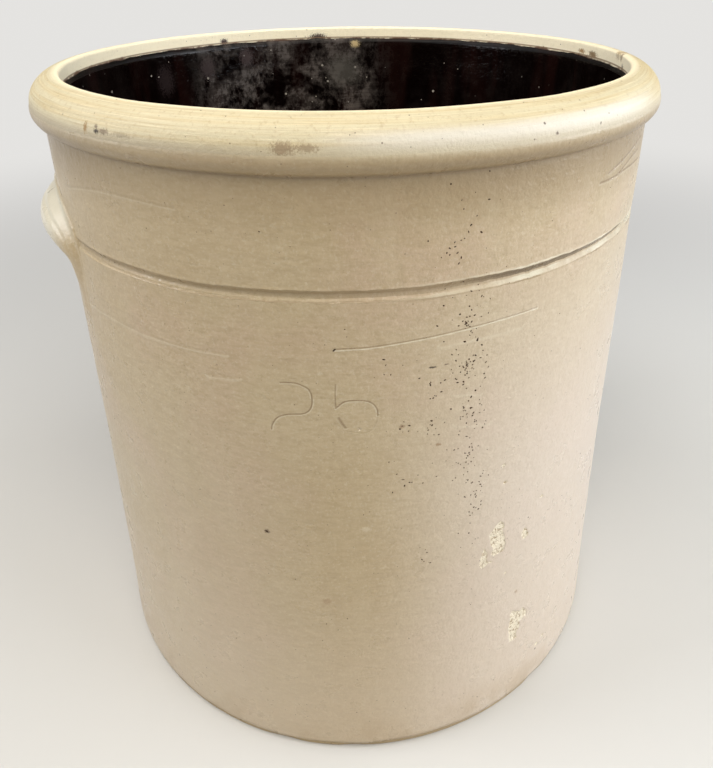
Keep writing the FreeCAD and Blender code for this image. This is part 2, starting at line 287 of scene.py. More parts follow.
class Wiring:
    """Short names for adding nodes to one tree."""

    def __init__(self, tree):
        self.nodes = tree.nodes
        self.links = tree.links

    def add(self, kind, **settings):
        node = self.nodes.new("ShaderNode" + kind)
        for key, value in settings.items():
            setattr(node, key, value)
        return node

    def plug(self, socket, value):
        """Link a socket, or set it where value is a plain number or colour."""
        if isinstance(value, bpy.types.NodeSocket):
            self.links.new(value, socket)
        else:
            socket.default_value = value

    def fill(self, node, inputs):
        """Plug a node's inputs, {name or number: value}, and give back its outputs."""
        for key, value in inputs.items():
            self.plug(node.inputs[key], value)
        return node.outputs

    def math(self, operation, first, second=0.0, clamp=False):
        node = self.add("Math", operation=operation, use_clamp=clamp)
        return self.fill(node, {0: first, 1: second})[0]

    def times(self, product, *factors):
        for factor in factors:
            product = self.math("MULTIPLY", product, factor)
        return product

    def vector_math(self, operation, first, second=(0, 0, 0)):
        outputs = self.fill(self.add("VectorMath", operation=operation), {0: first, 1: second})
        return outputs["Value" if operation == "LENGTH" else "Vector"]

    def axes(self, vector):
        return self.fill(self.add("SeparateXYZ"), {0: vector})

    def noise(self, vector, scale, detail=3.0, roughness=0.5):
        """Noise at one scale, or squeezed by a scale for each axis."""
        if isinstance(scale, tuple):
            squeezed = self.fill(self.add("Mapping"), {"Vector": vector, "Scale": scale})
            vector, scale = squeezed["Vector"], 1.0
        return self.fill(self.add("TexNoise"), {
            "Vector": vector, "Scale": scale, "Detail": detail, "Roughness": roughness})["Fac"]

    def ramp(self, value, low, high, low_out=0.0, high_out=1.0):
        """Smooth ramp from low_out to high_out while value goes from low to high."""
        node = self.add("MapRange", interpolation_type="SMOOTHSTEP")
        return self.fill(node, dict(enumerate((value, low, high, low_out, high_out))))["Result"]

    def band(self, value, rise, fall, strength=1.0):
        """Mask that comes in over one span of the value and goes out over another."""
        return self.patch(value, rise, value, fall, strength)

    def facing(self, axes, azimuth):
        """Cosine of the angle between a point's side of the crock and an azimuth."""
        side = on_circle(azimuth, 1 / FOOT_RADIUS, 0)
        return self.math("ADD", self.times(axes["X"], side.x), self.times(axes["Y"], side.y))

    def patch(self, inner, rise, outer, fall, strength):
        """Mask that comes in over a span of one value, and goes out over a span of another."""
        return self.times(self.ramp(inner, *rise, 0.0, strength),
                          self.ramp(outer, *fall, 1.0, 0.0))

    def mix(self, share, first, second):
        node = self.add("Mix", data_type="RGBA")
        return self.fill(node, {"Factor": share, "A": first, "B": second})["Result"]

    def layered(self, colour, layers):
        """Colour under layers, (mask, layer colour) each."""
        for mask, layer in layers:
            colour = self.mix(mask, colour, layer)
        return colour

    def washed(self, colour, washes):
        """Colour under washes: (pattern, low, high, strength, wash colour) each."""
        for pattern, low, high, strength, wash in washes:
            colour = self.mix(self.ramp(pattern, low, high, 0.0, strength), colour, wash)
        return colour

    def bump(self, height, distance, normal=None):
        inputs = {"Distance": distance, "Height": height}
        if normal is not None:
            inputs["Normal"] = normal
        return self.fill(self.add("Bump"), inputs)["Normal"]

    def group(self, group, place, **inputs):
        """The outputs of a shader group at a place, with its other inputs by name."""
        return self.fill(self.add("Group", node_tree=group), {"Vector": place, **inputs})

    def attribute(self, name):
        return self.add("Attribute", attribute_name=name).outputs["Fac"]


def new_group(name, inputs, outputs):
    """Empty group with float or vector inputs, {name: default}, and mask or colour outputs."""
    group = bpy.data.node_groups.new(name, "ShaderNodeTree")
    for socket_name, default in inputs.items():
        kind = "NodeSocketVector" if hasattr(default, "__len__") else "NodeSocketFloat"
        socket = group.interface.new_socket(name=socket_name, in_out="INPUT", socket_type=kind)
        socket.default_value = default
    for socket_name in outputs:
        kind = "NodeSocketColor" if socket_name == "Colour" else "NodeSocketFloat"
        group.interface.new_socket(name=socket_name, in_out="OUTPUT", socket_type=kind)
    given = group.nodes.new("NodeGroupInput").outputs
    return group, Wiring(group), given, group.nodes.new("NodeGroupOutput").inputs


# %% Mottling: soft clouds of fired colour, broad and small
mottle_group, w, given, result = new_group(
    "fired_mottle", {"Vector": (0, 0, 0), "Broad Scale": 5.0, "Small Scale": 45.0},
    ["Broad", "Small"])
for size_name, detail in (("Broad", 2.0), ("Small", 5.0)):
    clouds = w.noise(given["Vector"], given[size_name + " Scale"], detail)
    w.plug(result[size_name], w.ramp(clouds, 0.3, 0.7))

# %% Turning lines: noise squeezed flat, so that it runs round the pot in thin bands
turning_group, w, given, result = new_group(
    "turning_lines", {"Vector": (0, 0, 0)}, ["Coarse", "Fine"])
w.plug(result["Coarse"], w.noise(given["Vector"], (6, 6, 130), 3.0))
w.plug(result["Fine"], w.noise(given["Vector"], (14, 14, 620), 2.0))

# %% Specks: the cores of small cells, kept only where a second noise allows them
speck_group, w, given, result = new_group(
    "iron_specks", {"Vector": (0, 0, 0), "Scale": 400.0, "Size": 0.16, "Rarity": 0.6}, ["Mask"])
cells = w.fill(w.add("TexVoronoi"), {key: given[key] for key in ("Vector", "Scale")})
luck = w.fill(w.add("SeparateColor"), {"Color": cells["Color"]})
core = w.math("LESS_THAN", cells["Distance"], w.times(given["Size"], luck["Red"]))
chosen = w.math("GREATER_THAN", luck["Green"], given["Rarity"])
w.plug(result["Mask"], w.times(core, chosen))

# %% Stain: a ragged blot round one point
stain_group, w, given, result = new_group(
    "ragged_stain",
    {"Vector": (0, 0, 0), "Centre": (0, 0, 0), "Radius": 0.003, "Flatten": (1, 1, 1)}, ["Mask"])
away = w.vector_math("SUBTRACT", given["Vector"], given["Centre"])
away = w.vector_math("LENGTH", w.vector_math("MULTIPLY", away, given["Flatten"]))
rag = w.math("SUBTRACT", w.noise(given["Vector"], 700.0, 4.0, 0.75), 0.5)
share = w.math("ADD", w.math("DIVIDE", away, given["Radius"]), w.times(rag, 2.2))
w.plug(result["Mask"], w.ramp(share, 0.35, 1.0, 1.0, 0.0))

# %% Rubbed rim: lines that follow the roll, yellow where it was rubbed, a painted highlight on its right crown and painted shade under the roll at the left and the right
RIM_CREAM = (0.65, 0.58, 0.40, 1)
RIM_YELLOW = (0.61, 0.48, 0.25, 1)
RIM_LINE = (0.44, 0.32, 0.17, 1)
RIM_WHITE = (1.0, 0.895, 0.665, 1)
RIM_HIGHLIGHT_PAINT = (0.77, 0.73, 0.66, 1)
ROLL_SIDE = (0.60, 0.52, 0.365, 1)
RIM_SHADE = (0.36, 0.30, 0.22, 1)
rim_group, w, given, result = new_group(
    "rubbed_rim_with_painted_light", {"Vector": (0, 0, 0)}, ["Colour", "Lines", "Grit", "Radius"])
place = given["Vector"]
axes = w.axes(place)
height = axes["Z"]
flat_radius = w.math("SQRT", w.math("ADD", w.math("POWER", axes["X"], 2.0),
                                    w.math("POWER", axes["Y"], 2.0)))
turn = w.math("ARCTAN2", w.math("SUBTRACT", height, WIDEST_HEIGHT),
              w.math("SUBTRACT", flat_radius, CROWN_RADIUS))
unrolled = w.fill(w.add("CombineXYZ"), {"X": axes["X"], "Y": axes["Y"], "Z": turn})[0]
wipes = w.noise(unrolled, (5, 5, 6), 4.0, 0.6)
hairs = w.noise(unrolled, (12, 12, 22), 5.0, 0.78)
cracks = w.noise(unrolled, (30, 30, 30), 5.0, 0.7)
grit = w.noise(place, 270.0, 5.0, 0.75)
colour = w.washed(RIM_CREAM, [
    (wipes, 0.42, 0.68, 0.8, RIM_YELLOW),
    (w.noise(place, 9.0, 2.0), 0.3, 0.7, 0.5, RIM_CREAM),
    (hairs, 0.50, 0.70, 0.55, RIM_LINE),
    (hairs, 0.47, 0.30, 0.45, RIM_WHITE),
    (cracks, 0.60, 0.72, 0.5, RIM_LINE),
    (grit, 0.52, 0.70, 0.5, RIM_LINE)])
# Painted shade under the roll, at its left and at its right.
left_underside_shade = w.patch(w.facing(axes, -168), (0.30, 0.90), height, (0.546, 0.556), 0.65)
right_underside_shade = w.patch(w.facing(axes, -40), (0.55, 0.95), height, (0.546, 0.554), 0.40)
colour = w.layered(colour, [
    # Painted highlight on the crown's right side.
    (w.patch(w.facing(axes, -78), (0.86, 1.0), height, (0.558, 0.564), 0.8), RIM_HIGHLIGHT_PAINT),
    (w.ramp(w.facing(axes, -20), 0.90, 1.0, 0.0, 0.6), RIM_YELLOW),
    (w.ramp(height, 0.5470, 0.5570, 0.9, 0.0), ROLL_SIDE),
    (w.math("MAXIMUM", left_underside_shade, right_underside_shade), RIM_SHADE)])
for socket_name, value in (("Colour", colour), ("Lines", hairs), ("Grit", grit),
                           ("Radius", flat_radius)):
    w.plug(result[socket_name], value)
print("shader groups:", [group.name for group in bpy.data.node_groups])

# %% [markdown]
# ## Outer glaze skin
#
# The pale glaze is a skin under a millimetre thick, poured over the whole outside and wiped off
# the top of the rim. It could be a material on the clay, but then its edge, its chips and the
# scratched number would only be painted. Here it is a real shell: the half section is spun into
# a surface, the marks are cut into it, and it gets its thickness at the end. The seam groove has
# a long slope above, which falls dark, and a short ledge below, which catches the light. The
# groove wanders up and down, and where it leaves the constructed one, the skin is kept a little
# outside the clay.

# %% Half section of the glaze
GROOVE_DEPTH = 2.5 * MM
GROOVE_LOW = SEAM_HEIGHT - 3.6 * MM
GROOVE_HIGH = SEAM_HEIGHT + 5.7 * MM
BOTTOM_LOW = SEAM_HEIGHT - 1.2 * MM
BOTTOM_HIGH = SEAM_HEIGHT + 2.1 * MM
CLAY_GROOVE_LOW = SEAM_HEIGHT - 2.3 * MM
CLAY_COVER = 0.2 * MM
GROOVE_SIDES = [(GROOVE_LOW, 0.0), (BOTTOM_LOW, 0.92 * GROOVE_DEPTH),
                (BOTTOM_HIGH, 0.90 * GROOVE_DEPTH), (GROOVE_HIGH, 0.0)]
CLAY_GROOVE_SIDES = [(CLAY_GROOVE_LOW, 0.0), (SEAM_HEIGHT, GROOVE_DEPTH), (GROOVE_HIGH, 0.0)]
GLAZE_EDGE = WIDEST_HEIGHT + 4 * MM
LAP_START = WIDEST_HEIGHT - 7 * MM
ROLL_OUT = RIM_RADIUS - CREASE_RADIUS
ROLL_RISE = WIDEST_HEIGHT - CREASE_HEIGHT
ROLL_BEND = (ROLL_OUT ** 2 + ROLL_RISE ** 2) / (2 * ROLL_OUT)
ROLL_TURN = math.degrees(math.asin(ROLL_RISE / ROLL_BEND))
LAP_SHARE = 1.2
SOFT_CREASE = 2.5 * MM
WALL_ROWS = [(20 * MM, 2 * MM), (GROOVE_LOW - 3 * MM, 7 * MM), (GROOVE_LOW, 0.75 * MM),
             (BOTTOM_LOW, 0.6 * MM), (BOTTOM_HIGH, 0.6 * MM), (GROOVE_HIGH, 0.6 * MM),
             (GROOVE_HIGH + 3 * MM, 0.75 * MM), (CREASE_HEIGHT - 8 * MM, 6 * MM),
             (CREASE_HEIGHT, 1.2 * MM)]


def groove_cut(height, sides=GROOVE_SIDES):
    """Depth of the groove pressed in where the two sections of wall meet."""
    for (low, low_depth), (high, high_depth) in zip(sides, sides[1:]):
        if low <= height <= high:
            return low_depth + (high_depth - low_depth) * (height - low) / (high - low)
    return 0.0


def clay_cover(height):
    """Smallest radius of the glaze that still covers the constructed clay."""
    return wall_radius(height) - GLAZE - groove_cut(height, CLAY_GROOVE_SIDES) + CLAY_COVER


def spaced(low, high, spacing):
    count = max(1, round((high - low) / spacing))
    return [low + (high - low) * i / count for i in range(count)]


def softened(section, low, high):
    """The section with its corners between two heights eased."""
    eased = section[:]
    for i in range(1, len(section) - 1):
        if low < section[i][1] < high:
            radius = (section[i - 1][0] + 2 * section[i][0] + section[i + 1][0]) / 4
            eased[i] = (radius, section[i][1])
    return eased


def crown_surface(height):
    """Radius of the roll's outside above its widest line."""
    return CROWN_RADIUS + math.sqrt(max(CROWN_BEND ** 2 - (height - WIDEST_HEIGHT) ** 2, 0.0))


glaze_section = []
row_start = GLAZE_FOOT
for row_end, spacing in WALL_ROWS:
    glaze_section += [(wall_radius(row) - groove_cut(row), row)
                      for row in spaced(row_start, row_end, spacing)]
    row_start = row_end
glaze_section += arc((RIM_RADIUS - ROLL_BEND, WIDEST_HEIGHT), ROLL_BEND, -ROLL_TURN, 0, 14)
glaze_section += [(crown_surface(row) + GLAZE, row)
                  for row in spaced(WIDEST_HEIGHT, GLAZE_EDGE, 0.8 * MM)[1:] + [GLAZE_EDGE]]
glaze_section = [(radius - LAP_SHARE * GLAZE * smoothstep(LAP_START, GLAZE_EDGE, row), row)
                 for radius, row in glaze_section]
glaze_section = softened(glaze_section, CREASE_HEIGHT - SOFT_CREASE, CREASE_HEIGHT + SOFT_CREASE)
print("glaze section: %d rows" % len(glaze_section))

# %% How the seam wanders, and how the roll is dented
SEAM_WANDER = [(-180, 0.0), (-170, -1.5), (-154, -2.2), (-140, -1.0), (-127, -1.5), (-117, -0.2),
               (-95, 0.0), (-85, 1.5), (-64, 2.4), (-50, 2.4), (-22, 0.0), (180, 0.0)]


def seam_wander(azimuth):
    """How far the seam climbs over its true height, in mm."""
    for (start, rise), (end, end_rise) in zip(SEAM_WANDER, SEAM_WANDER[1:]):
        if azimuth <= end:
            return rise + (end_rise - rise) * smoothstep(start, end, azimuth)
    return 0.0


def roll_angle(point):
    """Angle round the middle of the roll, 0 outwards and 90 degrees at the crown, in radians."""
    return math.atan2(point.z - WIDEST_HEIGHT, math.hypot(point.x, point.y) - CROWN_RADIUS)


def rim_dent(point):
    """How far sponge lines and small dents sink the roll, fading in over its widest line."""
    outward = outward_of(point)
    turn = roll_angle(point)
    line = side_noise(outward, 1.5, turn * 13)
    fine = side_noise(outward, 4, turn * 34)
    dent = noise.noise(point * 22)
    grit = noise.noise(point * 380)
    shown = smoothstep(WIDEST_HEIGHT - 2 * MM, WIDEST_HEIGHT + 3 * MM, point.z)
    return (0.06 * (line + 1) + 0.04 * (fine + 1) + 0.3 * (dent + 1) + 0.06 * grit) * MM * shown


SEAM_PULL = 40 * MM
NARROW_PULL = 16 * MM
LIP_REACH = 2.2 * MM


def uneven(point):
    """A point of the true surface, moved to where the thrown wall really is."""
    outward = outward_of(point)
    azimuth = azimuth_of(point)
    near = bump_share(point.z, SEAM_HEIGHT, SEAM_PULL)
    wander = (0.6 * noise.noise(outward * 2.3) + seam_wander(azimuth)) * MM * near
    narrow = 0.18 * smoothstep(-72, -60, azimuth) * (azimuth < 0)
    wander -= narrow * (point.z - SEAM_HEIGHT) * bump_share(point.z, SEAM_HEIGHT, NARROW_PULL)
    lip = bump_share(point.z, GROOVE_HIGH, LIP_REACH)
    lip_rag = (0.5 * noise.noise(outward * 30) + 0.5 * noise.noise(outward * 75)) * MM * lip
    swell = swell_at(point) + 0.35 * MM * lip * (0.6 + noise.noise(outward * 14))
    return point + outward * swell + Vector((0, 0, wander + lip_rag))


EAR_COVER = 20.4
EAR_COVER_FADE = 1.0


def groove_filled(point):
    """1 under an ear, where the smeared clay closes the groove, 0 elsewhere."""
    turn = min(abs(azimuth_of(point)), 180 - abs(azimuth_of(point)))
    return 1.0 - smoothstep(EAR_COVER, EAR_COVER + EAR_COVER_FADE, turn)


# %% Spin the skin and let the hand show
RAG_TOP = 1.3 * MM
RAG_FOOT = 1.2 * MM
skin = turned_shell(glaze_section, 240)
near_layer = skin.verts.layers.float.new("seam_near")
rise_layer = skin.verts.layers.float.new("seam_rise")
for vert in skin.verts:
    filled = groove_filled(vert.co)
    vert[rise_layer] = (vert.co.z - SEAM_HEIGHT) / MM
    vert[near_layer] = (1 - filled) * (1 - smoothstep(12, 16, abs(vert[rise_layer])))
    vert.co += outward_of(vert.co) * groove_cut(vert.co.z) * filled
    rag_top = smoothstep(WIDEST_HEIGHT, GLAZE_EDGE, vert.co.z)
    rag_foot = 1.0 - smoothstep(GLAZE_FOOT, GLAZE_FOOT + 6 * MM, vert.co.z)
    vert.co = uneven(vert.co)
    reach = Vector((vert.co.x, vert.co.y, 0)).length
    if abs(vert.co.z - SEAM_HEIGHT) < 20 * MM and reach < clay_cover(vert.co.z):
        vert.co += outward_of(vert.co) * (clay_cover(vert.co.z) - reach)
    around = vert.co.normalized() * 9
    ripple = noise.noise(around) + 0.6 * noise.noise(around * 5)
    vert.co.z += RAG_TOP * ripple * rag_top + RAG_FOOT * ripple * rag_foot
    if rag_top > 0:
        lap = smoothstep(LAP_START, GLAZE_EDGE, vert.co.z)
        radius = crown_surface(vert.co.z) + GLAZE * (1 - LAP_SHARE * lap) - rim_dent(vert.co)
        level = Vector((0, 0, vert.co.z))
        vert.co = outward_of(vert.co) * min(radius, RIM_RADIUS) + level
print("skin before the marks: %d faces" % len(skin.faces))

# %% [markdown]
# ## Marks on the wall
#
# The capacity was scratched into the raw glaze with a fine point, one thin stroke at a time,
# and a long scored line runs round under the seam. Lower right, flakes of glaze are missing and
# the rough clay shows. All of them are drawn on the unrolled wall, in millimetres, right and up
# of a chosen spot. Then the skin's edges near a mark are cut again and again with
# subdivide_edges, and only the small new faces are pushed in.

# %% Drawing on the unrolled wall
WALL_REACH = FOOT_RADIUS


def wall_spot(azimuth, height):
    """A place on the unrolled wall: distance round it, and height. The height is given in mm."""
    return Vector((math.radians(azimuth) * WALL_REACH, height * MM))


def spot_of(point):
    return Vector((math.atan2(point.y, point.x) * WALL_REACH, point.z))


def drawn(centre, points):
    """Points given in mm right and up of a centre."""
    return [centre + Vector(point) * MM for point in points]


def flowing(points, steps=6):
    """The same line as one smooth stroke through its points."""
    ends = [2 * points[0] - points[1]] + points + [2 * points[-1] - points[-2]]
    stroke = []
    for before, start, end, after in zip(ends, ends[1:], ends[2:], ends[3:]):
        for step in range(steps):
            t = step / steps
            stroke.append(0.5 * (2 * start + (end - before) * t
                                 + (2 * before - 5 * start + 4 * end - after) * t ** 2
                                 + (3 * start - before - 3 * end + after) * t ** 3))
    return stroke + [points[-1]]


def segment_gap(spot, start, end):
    along = end - start
    share = min(max((spot - start).dot(along) / along.length_squared, 0.0), 1.0)
    return (spot - start - along * share).length


class Mark:
    """A scratch along a line, or a flaked patch inside an outline. Its sizes are in mm."""

    def __init__(self, line, patch=False, half_width=0.55, depth=0.3, burr=0.08, tint=1.0):
        self.line = line + line[:1] if patch else line
        self.patch = patch
        self.half_width = half_width * MM
        self.depth = depth * MM
        self.burr = burr * MM
        self.tint = tint
        self.low = Vector((min(p.x for p in line), min(p.y for p in line)))
        self.high = Vector((max(p.x for p in line), max(p.y for p in line)))

    def gap(self, spot, limit):
        """Distance to the line, below zero inside a patch, or limit where that is further off."""
        if not (self.low.x - limit < spot.x < self.high.x + limit
                and self.low.y - limit < spot.y < self.high.y + limit):
            return limit
        gap = min(segment_gap(spot, a, b) for a, b in zip(self.line, self.line[1:]))
        if self.patch:
            inside = False
            for a, b in zip(self.line, self.line[1:]):
                if (a.y > spot.y) != (b.y > spot.y):
                    if spot.x < a.x + (b.x - a.x) * (spot.y - a.y) / (b.y - a.y):
                        inside = not inside
            gap = -gap if inside else gap
        return min(gap, limit)


# %% The number, in single thin strokes
NUMBER_SPOT = wall_spot(-108.9, 368.8)
TWO_STROKE = [(-30, 17.2), (-25, 17.6), (-18, 17.2), (-10.5, 13), (-8.5, 5.5), (-10, -3),
              (-15.5, -7.5), (-26.5, -9), (-34, -12.5), (-38, -18.5), (-39, -23)]
FIVE_STEM = [(8, 17.5), (7.5, 8), (7.5, -1)]
FIVE_BOWL = [(7.5, -2), (14.5, 3.5), (25, 4), (32, 2), (36, -3.5), (36.5, -9)]
FIVE_TAIL = [(36.5, -9), (35.5, -15), (32, -21), (25, -23.5), (12.5, -20.5)]
FIVE_DASH = [(9.5, -10.5), (11.5, -14.5), (14, -18.5)]
scratches = [Mark(flowing(drawn(NUMBER_SPOT, points)), burr=0.12, tint=1.15)
             for points in (TWO_STROKE, FIVE_BOWL)]
scratches += [
    Mark(drawn(NUMBER_SPOT, FIVE_STEM), tint=0.75),
    Mark(flowing(drawn(NUMBER_SPOT, FIVE_TAIL)), depth=0.1, burr=0.03, tint=0.25),
    Mark(drawn(NUMBER_SPOT, FIVE_DASH), half_width=0.9, burr=0.05, tint=1.2)]

# %% The scored line under the seam, and shorter scores, as azimuths and heights in mm
FAINT = {"half_width": 1.4, "depth": 0.04, "burr": 0.07, "tint": 0.0}
DEEP = {"half_width": 0.9, "depth": 0.4, "burr": 0.06, "tint": 1.3}
SCORES = [
    ([(-160, 398), (-150, 402), (-141, 402), (-132, 402.3), (-124, 403.5)],
     {"half_width": 1.0, "depth": 0.15, "burr": 0.08, "tint": 0.12}),
    ([(-107, 414), (-102, 415), (-97, 417.3), (-91, 419.7), (-86, 421.5), (-81, 422.8),
      (-74, 423.8)], {"half_width": 0.55, "depth": 0.35, "burr": 0.22, "tint": 0.8}),
    ([(-158, 497), (-152, 503), (-145, 507.4), (-136, 508), (-130, 507)],
     {"half_width": 0.9, "depth": 0.16, "burr": 0.05, "tint": 0.3}),
    ([(-127.7, 383.5), (-122.4, 385.9)], FAINT),
    ([(-91, 411.4), (-86, 412.9), (-77, 413.4)], FAINT),
    ([(-88.3, 370), (-86, 368.5), (-84, 365.6)], FAINT),
    ([(-88, 344), (-86.8, 341.6), (-82, 338)], FAINT),
    ([(-61.5, 504.3), (-57.4, 503.8), (-52, 505), (-46, 504), (-42, 503.3)], DEEP),
    ([(-59, 509), (-54, 514), (-49, 519), (-44, 522)], DEEP),
    ([(-55, 505), (-50, 511), (-45, 513)], DEEP),
]
scratches += [Mark(flowing([wall_spot(*spot) for spot in line], 3), **kind)
              for line, kind in SCORES]

# %% The flaked patches: azimuth and height of each, and its outline in mm
FLAKES = [
    (-77.8, 214.7, [
        (-2, 16.5), (1, 18), (5, 15), (5.5, 9.5), (3.5, 7.5), (6.5, -0.5), (8, -9), (6.5, -16),
        (2.5, -17), (-2.5, -18), (-6, -15), (-4.5, -9.5), (-8, -1.5), (-9.5, 8), (-6, 11.5)]),
    (-80.7, 197.4, [
        (-0.5, 12), (3, 6.5), (2.5, -1), (4.5, -5.5), (2, -7.5), (-2, -9), (-4, -4.5),
        (-3.5, 1.5), (-2, 7.5)]),
    (-71.2, 204.3, [
        (-1, 8), (3, 3.5), (5, -4.5), (1.5, -6), (-2, -5), (-3.5, -0.5), (-3, 4.5)]),
    (-71.1, 98.6, [
        (-7.5, 18.5), (-4, 17.5), (3, 12.5), (6.5, 15), (12.5, 7), (13, 1.5), (8, -1), (4, -1),
        (5, -8), (0.5, -13.5), (2, -20), (-1.5, -21.5), (-7, -19), (-7.5, -12), (-9.5, 0),
        (-8, 9), (-9.5, 15)]),
]
SMALL_FLAKES = [(-77.9, 290.3, 1.9), (-77.3, 272.3, 1.6), (-67.3, 235.4, 1.8), (-61.6, 48.3, 2.0),
                (-63.7, 45.0, 1.8), (-58.2, 53.6, 1.9), (-75.4, 170.6, 1.3), (-79.3, 192.0, 1.6),
                (-103.6, 348.6, 1.2)]
for azimuth, height, size in SMALL_FLAKES:
    ring = [(size * math.cos(turn) * 1.1, size * math.sin(turn) * (1.0 + 0.3 * math.cos(2 * turn)))
            for turn in (math.tau * i / 7 for i in range(7))]
    FLAKES.append((azimuth, height, ring))
flakes = [Mark(drawn(wall_spot(azimuth, height), outline), patch=True)
          for azimuth, height, outline in FLAKES]
print("%d scratches, %d flaked patches" % (len(scratches), len(flakes)))


# %% Finer faces near the marks
def nearest_gap(marks, spot, limit):
    return min(mark.gap(spot, limit) for mark in marks)


def refine_near(bm, marks, bands):
    """Cut the edges near the marks once for each band, each band narrower than the last."""
    for band in bands:
        near = []
        for edge in bm.edges:
            spot = (spot_of(edge.verts[0].co) + spot_of(edge.verts[1].co)) / 2
            if spot.x < 0 and nearest_gap(marks, spot, band) < band:
                near.append(edge)
        bmesh.ops.subdivide_edges(bm, edges=near, cuts=1, use_grid_fill=True)


SHARP_WIDTH = 0.8 * MM
refine_near(skin, scratches, (9 * MM, 5 * MM, 2.6 * MM))
refine_near(skin, [mark for mark in scratches if mark.half_width < SHARP_WIDTH], (1.3 * MM,))
refine_near(skin, flakes, (8 * MM, 4 * MM, 2 * MM))
print("skin with finer faces: %d faces" % len(skin.faces))

# %% Cut the marks in, and remember them for the material
scratch_layer = skin.verts.layers.float.new("scratched")
flake_layer = skin.verts.layers.float.new("flaked")
burr_highlight_layer = skin.verts.layers.float.new("lower_burr_highlight")
FLAKE_FADE = 1.5 * MM
FLAKE_DEPTH = 0.62
MARK_REACH = 4 * MM
BURR_FULL = 0.2 * MM
for vert in skin.verts:
    spot = spot_of(vert.co)
    if spot.x > 0:
        continue
    cut = 0.0
    rough = noise.noise(vert.co * 900)
    for mark in scratches:
        gap = mark.gap(spot, MARK_REACH)
        if gap < MARK_REACH:
            pressed = 0.75 + 0.5 * noise.noise(vert.co * 60)
            cut += mark.depth * pressed * (1 - smoothstep(0, mark.half_width, gap))
            below = mark.gap(spot + Vector((0, 0.3 * MM)), MARK_REACH + MM) < gap
            burr = bump_share(gap, mark.half_width * 1.7, mark.half_width) * (1.3 if below else 0.4)
            cut -= mark.burr * (0.7 + rough) * burr
            worn = mark.tint * (1 - smoothstep(mark.half_width * 0.4, mark.half_width * 1.5, gap))
            vert[scratch_layer] = max(vert[scratch_layer], worn)
            # The burr below a scratch faces up and gets a painted highlight.
            if below:
                vert[burr_highlight_layer] = max(vert[burr_highlight_layer], burr * min(mark.burr / BURR_FULL, 1.6))
    for mark in flakes:
        gap = mark.gap(spot, MARK_REACH)
        if gap < MARK_REACH:
            gap += 0.9 * MM * noise.noise(vert.co * 350)
            inside = 1 - smoothstep(-0.7 * MM, 0.3 * MM, gap)
            cut += inside * (FLAKE_DEPTH + 0.12 * rough) * MM
            fade = min(max(0.5 - gap / (2 * FLAKE_FADE), 0.0), 1.0)
            vert[flake_layer] = max(vert[flake_layer], fade)
    if cut:
        vert.co -= outward_of(vert.co) * cut
skin.normal_update()

# %% Give the skin its thickness and make it a piece
pale_glaze_skin = finish_piece(skin, "pale_glaze_skin", ["outer_glaze"], 40)
thicken(pale_glaze_skin, 0.75 * MM)

# %% [markdown]
# ## Rolled rim
#
# The rim is a fat roll, folded outwards and rounded with a wet sponge. A torus would be too
# regular: this roll is fuller outside than inside, and flat where it sits on the wall. So its
# true half section is spun too, with many rows, and the sponge's fine lines are pushed into it
# along the roll. They follow the angle round the roll's own middle, as the real ones do.

# %% Half section of the roll
INNER_BEND = 3 * MM
THROAT_RADIUS = CROWN_RADIUS - INNER_BEND
rim_section = rows_along((BORE_RADIUS, CREASE_HEIGHT),
                         ((CREASE_RADIUS - GLAZE, CREASE_HEIGHT), 5 * MM))
rim_section += arc((CLAY_RIM_RADIUS - ROLL_BEND, WIDEST_HEIGHT), ROLL_BEND, -ROLL_TURN, 0, 10)[:-1]
rim_section += arc((CROWN_RADIUS, WIDEST_HEIGHT), CROWN_BEND, 0, 90, 52)[:-1]
rim_section += arc((CROWN_RADIUS, HEIGHT - INNER_BEND), INNER_BEND, 90, 180, 10)
rim_section += rows_along((THROAT_RADIUS, HEIGHT - INNER_BEND), ((BORE_RADIUS, SLIP_TOP), 1.5 * MM),
                          ((BORE_RADIUS, CREASE_HEIGHT), 6 * MM))[1:]
rim = turned_shell(rim_section, 360, closed=True)

# %% Sponge lines, small dents, and the piece
rim.normal_update()
moves = [vert.normal * -rim_dent(vert.co) for vert in rim.verts]
for vert, move in zip(rim.verts, moves):
    vert.co += move
rim_roll = finish_piece(rim, "rim_roll", ["rolled_rim"])

# %% [markdown]
# ## Dark slip inside
#
# The inside is lined with a dark iron-rich slip, swilled round and poured out, so it is glossy
# and runs in streaks. The lining is spun from the floor's middle up to the throat of the rim.
# Its surface is rippled up and down the wall, because a mirror-smooth cylinder would reflect
# the sky as one clean band.

# %% Spin the lining
WALL_THICKNESS = 19 * MM
SLIP = 0.8 * MM
COVE = 12 * MM - SLIP
LINING_EDGE = 9 * MM
TUCK_EDGE = 4 * MM
foot_bore = FOOT_RADIUS - GLAZE - WALL_THICKNESS - SLIP
lining_floor = FLOOR_TOP + SLIP
lining_radius = BORE_RADIUS - SLIP
lining_section = rows_along((0, lining_floor), ((foot_bore - COVE, lining_floor), 12 * MM))
lining_section += arc((foot_bore - COVE, lining_floor + COVE), COVE, -90, 0, 8)[:-1]
lining_section += rows_along(
    (foot_bore, lining_floor + COVE), ((foot_bore + SEAM_FLARE, SEAM_HEIGHT), 7 * MM),
    ((lining_radius, CREASE_HEIGHT), 5 * MM), ((lining_radius, SLIP_TOP), 3 * MM))
lining_section.append((lining_radius, SLIP_TOP))
lining = turned_shell(lining_section, 300)
bmesh.ops.reverse_faces(lining, faces=lining.faces[:])
